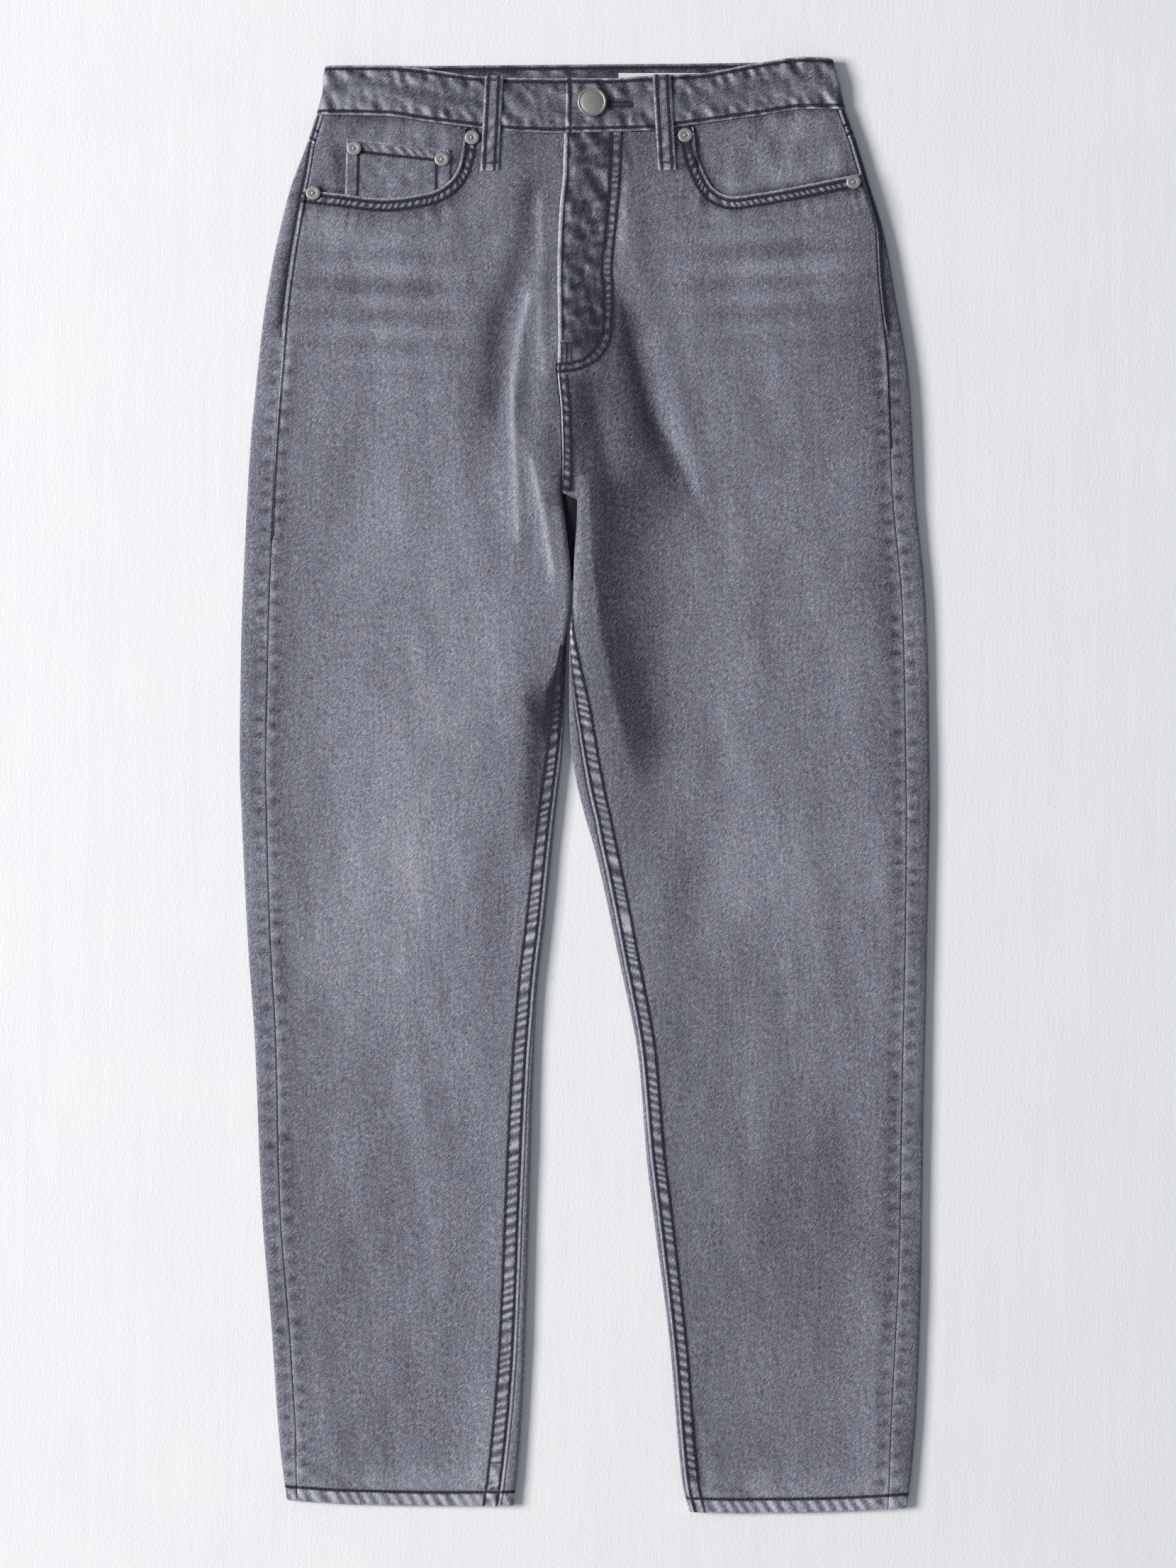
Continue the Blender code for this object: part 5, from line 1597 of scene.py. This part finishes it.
# %% Cloth at the foot of the rise, painted as in shadow
def crotch_turning_in_painted_shadow(material):
    """Turned cloth of the rise: it goes down between the folds of the legs and ends under them.
    Its colour is painted nearly black, as the shadow between the legs.
    """
    share = np.linspace(0, 1, 10)[None, :]
    rise = np.linspace(0, 1, 31)[:, None]
    y = mix(139.0, 199.0, rise) + 0 * share
    left, right = RIGHT.front_inner(y), LEFT.front_inner(np.minimum(y, 193.0))
    x = mix(left - 1.6, right + 1.6, share)
    face = np.stack([x, y, 1.0 + 3.4 * ease(y, 172, 199) * bell(share, 0.5, 0.5)], axis=-1)
    thing = cloth("crotch_turning_in_painted_shadow", face, 0.7, 1, material, 0.0, {"marks": (FAR_OFF, -0.9, 0.0)})
    declare(thing, None)


crotch_turning_in_painted_shadow(denim_body)

# %% [markdown]
# ## Belt loops and back pockets
# A belt loop is a narrow folded strip with two rows of stitches, tacked down at both ends. The
# back pockets are plain patches: they lie face down under the jeans, so they stay flat.

# %% Belt loops
LOOP_ROW = 2.7


def loop_grid(step):
    """Share of the way up a belt loop, the way along it and the way across it, as grids."""
    rise = spacing(LOOP_LENGTH, step, EDGE_STEPS[:5], EDGE_STEPS[:5])[:, None]
    share = spacing(LOOP_WIDTH, 1.0, EDGE_STEPS[:4], EDGE_STEPS[:4])[None, :]
    return np.broadcast_arrays(rise, LOOP_LENGTH * rise, (share - 0.5) * LOOP_WIDTH)


def belt_loop(node, face, wall, up, across, along, relief, material):
    """Belt loop with its face up or down, a row of stitches along each side and worn ends."""
    to_side = LOOP_WIDTH / 2 - np.abs(across)
    tone = 0.16 * bell(along, 0, 3.6) + 0.05 * bell(across, 0, 1.6) - 0.10 * bell(along, 9, 4)
    tone = tone - 0.08 * bell(along, LOOP_LENGTH, 10) + 0.05 * streaks(across, along, 40, 7, 121)
    worn_edge = np.minimum(to_side, np.minimum(along, LOOP_LENGTH - along)) + 0.5
    facts = {"rows_a": three(to_side - LOOP_ROW), "marks": three(worn_edge, tone, rest=0.0)}
    thing = cloth("cloth_" + node, face, wall, up, material, relief, facts)
    declare(thing, node)


def front_loop(node, place, material):
    """Belt loop over the band, sewn down at the band's top and on the front below it."""
    side = "right" if "right" in node else "left"
    head_x, head_y, foot_x = place
    rise, along, across = loop_grid(1.5)
    y = head_y - LOOP_LENGTH + along
    x = mix(foot_x, head_x, rise) + across
    over = band_lap(x) if side == "left" else 0
    on_band = WAIST.top(x, y) + over
    on_front = SIDES[side]["loop"].top(x, y) + front_lift(side)(x, y)
    base = mix(on_front, on_band, ease(y, 431, 439)) + SEAM_GAP + 0.1
    crown = 0.25 * (1 - (2 * across / LOOP_WIDTH) ** 2)
    relief = crown + rounded(LOOP_WIDTH / 2 - np.abs(across), 0.5, 1.0) + rounded(along, 0.5, 1.0)
    belt_loop(node, np.stack([x, y, base + LOOP_WALL], axis=-1), LOOP_WALL, 1, across, along, relief,
              material)


def back_loop(node, place, material):
    """Belt loop beneath the band and the yoke, flat on the floor."""
    _, along, across = loop_grid(2.0)
    face = np.stack([place[0] + across, place[1] - LOOP_LENGTH + along, 0 * along + 0.15], axis=-1)
    belt_loop(node, face, CLOTH - 0.2, -1, across, along, -0.05, material)


for node, place in LOOPS_FRONT.items():
    front_loop(node, place, denim_body)
for node, place in LOOPS_BACK.items():
    back_loop(node, place, denim_body)


# %% Back pockets
BACK_POCKET_ROWS = (1.8, 7.8)
MOUTH_ROW = 14


def back_pocket(side, material):
    """Patch pocket beneath the back: a pointed pentagon, flat, its rim eased over the corners."""
    sign = SIDES[side]["sign"]
    inner_top, outer_top, outer_foot, point, inner_foot = np.array(BACK_POCKET) * [sign, 1.0]
    share = spacing(140, 3.0, EDGE_STEPS[:6], EDGE_STEPS[:6])[None, :]
    rise = spacing(150, 3.0, EDGE_STEPS[:6], EDGE_STEPS[:6])[:, None]
    point_share = (point[0] - inner_foot[0]) / (outer_foot[0] - inner_foot[0])
    falling = mix(inner_foot[1], point[1], np.clip(share / point_share, 0, 1))
    climbing = mix(point[1], outer_foot[1], np.clip((share - point_share) / (1 - point_share), 0, 1))
    low = np.where(share < point_share, falling, climbing)
    high = mix(inner_top[1], outer_top[1], share)
    y = mix(low, high, rise)
    inner_x, outer_x = (np.interp(y, *zip(foot[::-1], top[::-1])) for foot, top in
                        ((inner_foot, inner_top), (outer_foot, outer_top)))
    x = mix(inner_x, outer_x, share)
    to_edge = np.minimum(np.minimum(np.abs(x - inner_x), np.abs(x - outer_x)), (y - low) * 0.95)
    to_mouth = high - y
    sewn = to_mouth > 1
    fade = 0.10 * bell(x, sign * 92, 40) * bell(y, 318, 45)
    facts = {
        "rows_a": three(np.where(sewn, to_edge - BACK_POCKET_ROWS[0], FAR_OFF),
                        np.where(sewn, to_edge - BACK_POCKET_ROWS[1], FAR_OFF), to_mouth - MOUTH_ROW),
        "marks": three(np.minimum(to_edge, to_mouth), fade + 0.02 * waves(x, y, 22, 131), rest=0.0),
    }
    face = np.stack([x, y, 0 * x + 0.15], axis=-1)
    thing = cloth("cloth_back_pocket_" + side, face, CLOTH - 0.2, -sign, material, -0.03, facts)
    declare(thing, "back_pocket_" + side)


for side in SIDES:
    back_pocket(side, denim_body)

# %% [markdown]
# ## Topstitching
# Thousands of stitches hold the garment together. Each is a small spindle of thread with six
# sides; a row of them follows a path drawn on the cloth, and a ray dropped onto the one piece
# it is sewn to gives its height and its slope. All the spindles of a region are one mesh.

# %% Spindles of thread
SPINDLE_SIDES = 6
STITCH_PITCH = 3.1
STITCH_LENGTH = 2.75


def spindles(name, centres, along, up, length, width, height, material):
    """Joined spindles: two rings and two tips each, along their threads, as whole arrays."""
    across = np.cross(up, along)
    turn = np.arange(SPINDLE_SIDES) / SPINDLE_SIDES * 2 * math.pi
    count = len(centres)
    length, width, height = (np.broadcast_to(value, count)[:, None, None] for value in
                             (length, width, height))
    ring = (across[:, None, :] * np.cos(turn)[None, :, None] * width / 2
            + up[:, None, :] * np.sin(turn)[None, :, None] * height / 2)
    reach = along[:, None, :] * length
    sink = up[:, None, :] * height * 0.45
    middle = centres[:, None, :]
    points = np.concatenate([middle - 0.5 * reach - sink, middle - 0.24 * reach + ring,
                             middle + 0.24 * reach + ring, middle + 0.5 * reach - sink], axis=1)
    sides = np.arange(SPINDLE_SIDES)
    after = (sides + 1) % SPINDLE_SIDES
    low, high, tip = 1, 1 + SPINDLE_SIDES, 1 + 2 * SPINDLE_SIDES
    caps = np.concatenate([np.stack([0 * sides, low + after, low + sides], axis=-1),
                           np.stack([0 * sides + tip, high + sides, high + after], axis=-1)])
    walls = np.stack([low + sides, low + after, high + after, high + sides], axis=-1)
    start = (np.arange(count) * (tip + 1))[:, None, None]
    faces = (start + caps).reshape(-1, 3).tolist() + (start + walls).reshape(-1, 4).tolist()
    thing = make_mesh(name, points.reshape(-1, 3), faces, material)
    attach(thing, "root")
    print(f"{name}: {count} stitches")


# %% Dropping a path onto a piece
TREES = {}


def tree_of(piece):
    """Search tree of a piece's mesh, made once."""
    if piece not in TREES:
        mesh = PANELS[piece].data
        places = np.empty(len(mesh.vertices) * 3, dtype=np.float32)
        mesh.vertices.foreach_get("co", places)
        polygons = [tuple(face.vertices) for face in mesh.polygons]
        TREES[piece] = BVHTree.FromPolygons(places.reshape(-1, 3).tolist(), polygons)
    return TREES[piece]


def drop(piece, x, y, from_above=True):
    """Heights and normals where vertical rays meet a piece, in mm, and which rays met it."""
    tree = tree_of(piece)
    start_z, way = (0.1, -1.0) if from_above else (-0.1, 1.0)
    spots, normals, met = [], [], []
    for px, py in zip(x * MM + SHIFT[0], y * MM + SHIFT[1]):
        spot, normal, _, _ = tree.ray_cast(Vector((px, py, start_z)), Vector((0, 0, way)))
        met.append(spot is not None)
        spots.append(spot if spot else (px, py, 0))
        normals.append(normal if normal else (0, 0, -way))
    return (np.array(spots) - SHIFT) / MM, np.array(normals), np.array(met)


SEWN = {"stitching_front": [], "stitching_back": []}


def path(x, y):
    """Points of a path from their x and y, either of which may be one number."""
    return np.stack(np.broadcast_arrays(x, y), axis=-1)


def sew(piece, rows, from_above=True, pitch=STITCH_PITCH, width=0.85, height=0.6, across=None,
        length=None):
    """Sew a row of stitches along a path of (x, y) points onto a piece.

    With across given, each stitch lies across the path and is that long, as in a bar tack.
    """
    px, py, at = walk(rows, 0.5)
    count = max(1, int(round(at[-1] / pitch)))
    middle = (np.arange(count) + 0.5) * at[-1] / count
    x, y = np.interp(middle, at, px), np.interp(middle, at, py)
    dx, dy = np.interp(middle, at, np.gradient(px)), np.interp(middle, at, np.gradient(py))
    spots, normals, met = drop(piece, x, y, from_above)
    along = np.stack([dx, dy, 0 * dx], axis=-1)
    if across is not None:
        along = np.stack([-dy, dx, 0 * dx], axis=-1)
    along = along - normals * (along * normals).sum(-1, keepdims=True)
    along = along / np.linalg.norm(along, axis=-1, keepdims=True)
    long = across if across is not None else (length or at[-1] / count * STITCH_LENGTH / STITCH_PITCH)
    sizes = [np.full(met.sum(), float(size)) for size in (long, width, height)]
    SEWN["stitching_front" if from_above else "stitching_back"].append(
        (spots[met], along[met], normals[met], *sizes))


def offset(rows, away):
    """A path moved sideways, to the left of its direction for a positive distance."""
    px, py, _ = walk(rows, 2.0)
    tx, ty = np.gradient(px), np.gradient(py)
    size = np.hypot(tx, ty)
    return path(px - ty / size * away, py + tx / size * away)


# %% Rows of the fronts
HEM_ENDS = {
    # where the hem's row starts and ends in x, on the front and beneath
    "right": ((outer_right(-480) + 9, INNER_RIGHT[-1][1] - 12), (outer_right(-480) + 6, -54)),
    "left": ((INNER_LEFT[-1][1] + 6, outer_left(-482) - 15), (76, outer_left(-482) - 8)),
}
TACK = {"pitch": 0.62, "width": 0.62, "height": 0.6, "across": 1.6}
INNER_EDGE_ROW = 5.0


def edge_path(side, from_inner, y):
    """Path on the front at a distance from its inner edge, measured round the cloth."""
    s = SIDES[side]
    way = s["loop"].lengths(y)[0] - s["inseam"](y) - HALF_GAP - from_inner
    return path(s["loop"].point(way, y)[..., 0], y)


for side, s in SIDES.items():
    front = "front_" + side
    for row in POCKET_ROWS:
        x, y = offset(s["pocket"], s["sign"] * row).T
        kept = (y < waist_front(x) - 1.5) & (np.abs(x - s["loop"].outer(y)) > s["side_seam"](y) + 1.5)
        sew(front, path(x, y)[kept])
    leg_y = np.arange(s["inseam_shows_below"] - 8, -478, -6.0)
    for row_at in inner_rows(side):
        row_y = leg_y[row_at(leg_y) > 0.6]
        sew(front, edge_path(side, row_at(row_y), row_y))
    above_x, beneath_x = (np.linspace(*ends, 30) for ends in HEM_ENDS[side])
    sew(front, path(above_x, s["hem"](above_x) + HEM_ROW), width=1.15, height=0.8)
    sew("back_" + side, path(beneath_x, s["hem"](beneath_x) + HEM_ROW), from_above=False, height=0.5)
rise_y = np.arange(278, 199, -5.0)
for row_at in inner_rows("left"):
    sew("front_left", edge_path("left", row_at(rise_y), rise_y))
fly_y = np.arange(439, 301, -5.0)
sew("front_left", edge_path("left", INNER_EDGE_ROW, fly_y))
sew("front_left", FLY_INNER)
sew("front_left", FLY_OUTER)
for tack_x in (-15.6, -12.4, -9.2):
    sew("front_left", ((tack_x, 285.5), (tack_x, 299.5)), **TACK)
for tack_y in (285.8, 299.4):
    sew("front_left", ((-16.6, tack_y), (-8.4, tack_y)), **TACK)

# %% Rows of the coin pocket, side seams and yokes
def side_row(s, y):
    """Path of the row beside a side seam."""
    return path(s["loop"].outer(y) - s["sign"] * (s["side_seam"](y) - HALF_GAP - SIDE_ROW), y)


coin_x = np.linspace(-159.5, -92.6, 24)
coin_top = mix(*COIN_TOP_Y, (coin_x - COIN_TOP_X[0]) / (COIN_TOP_X[1] - COIN_TOP_X[0]))
sew("coin_pocket", path(coin_x, coin_top - COIN_ROW))
for ends in (((-153.4, 427.5), (-153.9, 403)), ((-100.0, 422.5), (-100.3, 404))):
    sew("coin_pocket", ends)
for side, s in SIDES.items():
    outer, seam, sign = s["loop"].outer, s["side_seam"], s["sign"]
    side_y = np.arange(SIDE_TACK_Y + 6, (438 if side == "right" else 441), 4.0)
    sew("back_" + side, side_row(s, side_y[seam(side_y) > SIDE_ROW + 2.5]), width=0.75)
    tack_y = np.array([SIDE_TACK_Y - 5.0, SIDE_TACK_Y + 5.0])
    sew("back_" + side, side_row(s, tack_y), pitch=0.55, width=0.5, height=0.6, across=2.2)
    yoke_x = sign * np.linspace(20, 172, 30)
    for row in YOKE_ROWS:
        sew("yoke_" + side, path(yoke_x, s["yoke"](yoke_x) + row), from_above=False)
    for piece, row in (("back_", -2.5), ("yoke_", 3.0)):
        bar_y = float(s["yoke"](sign * 184.0)) + row
        bar_x = outer(bar_y) - sign * np.array([1.2, seam(bar_y) - 0.6])
        sew(piece + side, path(bar_x, bar_y), pitch=2.0, width=0.8)

# %% Rows of the band and the loops
band_x = np.linspace(-172, BUTTONHOLE_END_X - 1.0, 60)
left_x = np.linspace(BUTTONHOLE_END_X + 3.2, 164, 60)
for x in (band_x, left_x):
    sew("waistband", path(x, top_front(x) - BAND_HEAD_ROW))
    sew("waistband", path(x, waist_front(x) + HALF_GAP + BAND_FOOT_ROW))
sew("waistband", path(BUTTONHOLE_END_X + BAND_END_ROW, (445.5, 475)))
inside_x = np.linspace(-118, 108, 60)
inside_y = top_back(inside_x) - 3.2
sew("waistband", path(inside_x, inside_y)[inside_y > top_front(inside_x) + 0.6])
under_x = np.linspace(-168, 160, 80)
sew("waistband", path(under_x, top_back(under_x) - BAND_HEAD_ROW), from_above=False)
sew("waistband", path(under_x, waist_back(under_x) + HALF_GAP + BAND_FOOT_ROW), from_above=False)
for node, (head_x, head_y, foot_x) in LOOPS_FRONT.items():
    foot_y = head_y - LOOP_LENGTH
    for shift in (LOOP_ROW - LOOP_WIDTH / 2, LOOP_WIDTH / 2 - LOOP_ROW):
        sew(node, ((foot_x + shift, foot_y + 1), (head_x + shift, head_y - 1)), width=0.8)
    for bar_y in (foot_y + 5.0, head_y - 3.0):
        bar_x = mix(foot_x, head_x, (bar_y - foot_y) / LOOP_LENGTH)
        sew(node, ((bar_x - 5.2, bar_y), (bar_x + 5.2, bar_y)), pitch=0.6, width=0.42, height=0.5,
            across=1.8)
for node, (loop_x, head_y) in LOOPS_BACK.items():
    for shift in (LOOP_ROW - LOOP_WIDTH / 2, LOOP_WIDTH / 2 - LOOP_ROW):
        sew(node, path(loop_x + shift, (head_y - LOOP_LENGTH + 1, head_y - 1)), from_above=False,
            height=0.24)

# %% Rows of the back pockets
corners = np.array(BACK_POCKET[:1] + BACK_POCKET[:0:-1], dtype=float)
for side, s in SIDES.items():
    for inset in BACK_POCKET_ROWS:
        for one, other in zip(corners, corners[1:]):
            ahead = (other - one) / np.linalg.norm(other - one)
            inwards = inset * np.array([-ahead[1], ahead[0]])
            ends = np.array([one + inwards + 0.6 * inset * ahead, other + inwards - 0.6 * inset * ahead])
            sew("back_pocket_" + side, ends * [s["sign"], 1], from_above=False, height=0.24)
    mouth_x = np.array([corners[0][0] + 2, corners[-1][0] - 2]) * s["sign"]
    mouth_y = (corners[0][1] - MOUTH_ROW, corners[-1][1] - MOUTH_ROW)
    sew("back_pocket_" + side, path(mouth_x, mouth_y), from_above=False, height=0.24)

# %% [markdown]
# ## Buttonhole
# The keyhole beside the button is bound with dense stitches that stand across its edge. They
# follow a long narrow loop with a rounder head. Between them a strip of dark thread stands for
# the shadow in the slit, and the band round the hole is painted darker as shadow.

# %% The buttonhole
hole_turn = np.linspace(0, 2 * math.pi, 61)
hole_x = HOLE_X + HOLE_LONG * np.cos(hole_turn)
hole_y = HOLE_Y + (HOLE_TALL + 0.5 * ease(hole_x, 27, 31)) * np.sin(hole_turn)
sew("waistband", path(hole_x, hole_y), pitch=0.5, width=0.46, height=0.7, across=2.1)
# Wide dark spindles along the middle stand for the shadow in the slit.
sew("waistband", path((HOLE_X - 8, HOLE_X + 8), HOLE_Y), pitch=1.6, width=2.2, height=0.5, length=3.2)

for name, rows in SEWN.items():
    spindles(name, *[np.concatenate(part) for part in zip(*rows)], thread)

# %% [markdown]
# ## Button, rivets and label
# The metal trims are turned shapes: a profile of radius and height, carried round an axis. The
# button's face is plain here, slightly domed with a raised rim. A rivet is a flat washer with a
# small bright nipple in its dimple.

# %% Turned trims
def turned(name, node, profile, place, base, segments, material):
    """Turned piece: ring i has the radius and height of profile row i, closed at both poles."""
    table = np.array(profile, dtype=float)
    walked = np.concatenate(([0], np.cumsum(np.hypot(*np.diff(table, axis=0).T))))
    at = np.linspace(0, walked[-1], 4 * len(table))
    at = np.unique(np.concatenate([at, walked]))[1:-1]
    radius, height = np.interp(at, walked, table[:, 0]), np.interp(at, walked, table[:, 1])
    turn = np.arange(segments) / segments * 2 * math.pi
    radius, height = radius[:, None], height[:, None]
    rings = np.stack([radius * np.cos(turn), radius * np.sin(turn), height + 0 * turn], axis=-1)
    poles = np.array([[0, 0, table[0, 1]], [0, 0, table[-1, 1]]])
    points = np.concatenate([rings.reshape(-1, 3), poles]) + [*place, base]
    count = len(radius)
    index = np.arange(count * segments).reshape(count, segments)
    after = np.roll(index, -1, axis=1)
    walls = np.stack([index[:-1], index[1:], after[1:], after[:-1]], axis=-1).reshape(-1, 4)
    top = np.stack([index[0], after[0], np.full(segments, count * segments)], axis=-1)
    bottom = np.stack([after[-1], index[-1], np.full(segments, count * segments + 1)], axis=-1)
    thing = make_mesh(name, points, walls.tolist() + top.tolist() + bottom.tolist(), material)
    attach(thing, "root")
    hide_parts(node)


RIVET_PROFILE = (
    # radius and height, from the crown out and down to the foot
    (0, 2.0), (0.5, 1.95), (0.95, 1.6), (1.1, 1.0), (1.35, 0.8), (1.7, 0.85), (1.9, 1.1), (3.2, 1.22),
    (4.4, 1.15), (4.8, 0.85), (RIVET_RADIUS, 0.3), (4.8, 0.0), (0, 0))
BUTTON_PROFILE = (
    # radius and height, in the same order
    (0, 4.0), (3.0, 3.95), (6.0, 3.75), (7.6, 3.5), (8.0, 3.4), (8.3, 3.5), (8.6, 3.85), (9.1, 3.9),
    (9.6, 3.5), (BUTTON_RADIUS, 2.8), (9.7, 2.0), (9.0, 1.4), (6.4, 1.1), (6.0, 0.6), (6.0, 0), (0, 0))
for node, place in RIVETS_AT.items():
    low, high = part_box(node)
    turned("metal_" + node, node, RIVET_PROFILE, place, low[2] / MM, 48, rivet_metal)
low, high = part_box("waist_button")
turned("metal_waist_button", "waist_button", BUTTON_PROFILE, BUTTON_AT, low[2] / MM, 72, button_metal)
print("turned trims:", len(RIVETS_AT) + 1)


# %% The blank label
def waist_label(material):
    """Blank label on the inside of the band's back: a thin flat strip, a little wavy."""
    low, high = np.array(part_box("waist_label")) / MM
    share = spacing(high[0] - low[0], 1.8, EDGE_STEPS[:3], EDGE_STEPS[:3])[None, :]
    rise = spacing(high[1] - low[1], 1.8, EDGE_STEPS[:3], EDGE_STEPS[:3])[:, None]
    x = mix(low[0], high[0], share) - SHIFT[0] / MM + 0 * rise
    y = mix(low[1], high[1], rise) - SHIFT[1] / MM + 0 * share
    face = np.stack([x, y, high[2] + 0.1 * waves(x, y, 12, 141)], axis=-1)
    thing = cloth("blank_label", face, 0.9, 1, material)
    declare(thing, "waist_label")


waist_label(label_cotton)

# %% Count the faces made here
faces_made = sum(len(thing.data.polygons) for thing in bpy.data.objects
                 if thing.type == "MESH" and "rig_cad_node" not in thing)
print("faces made here:", faces_made)
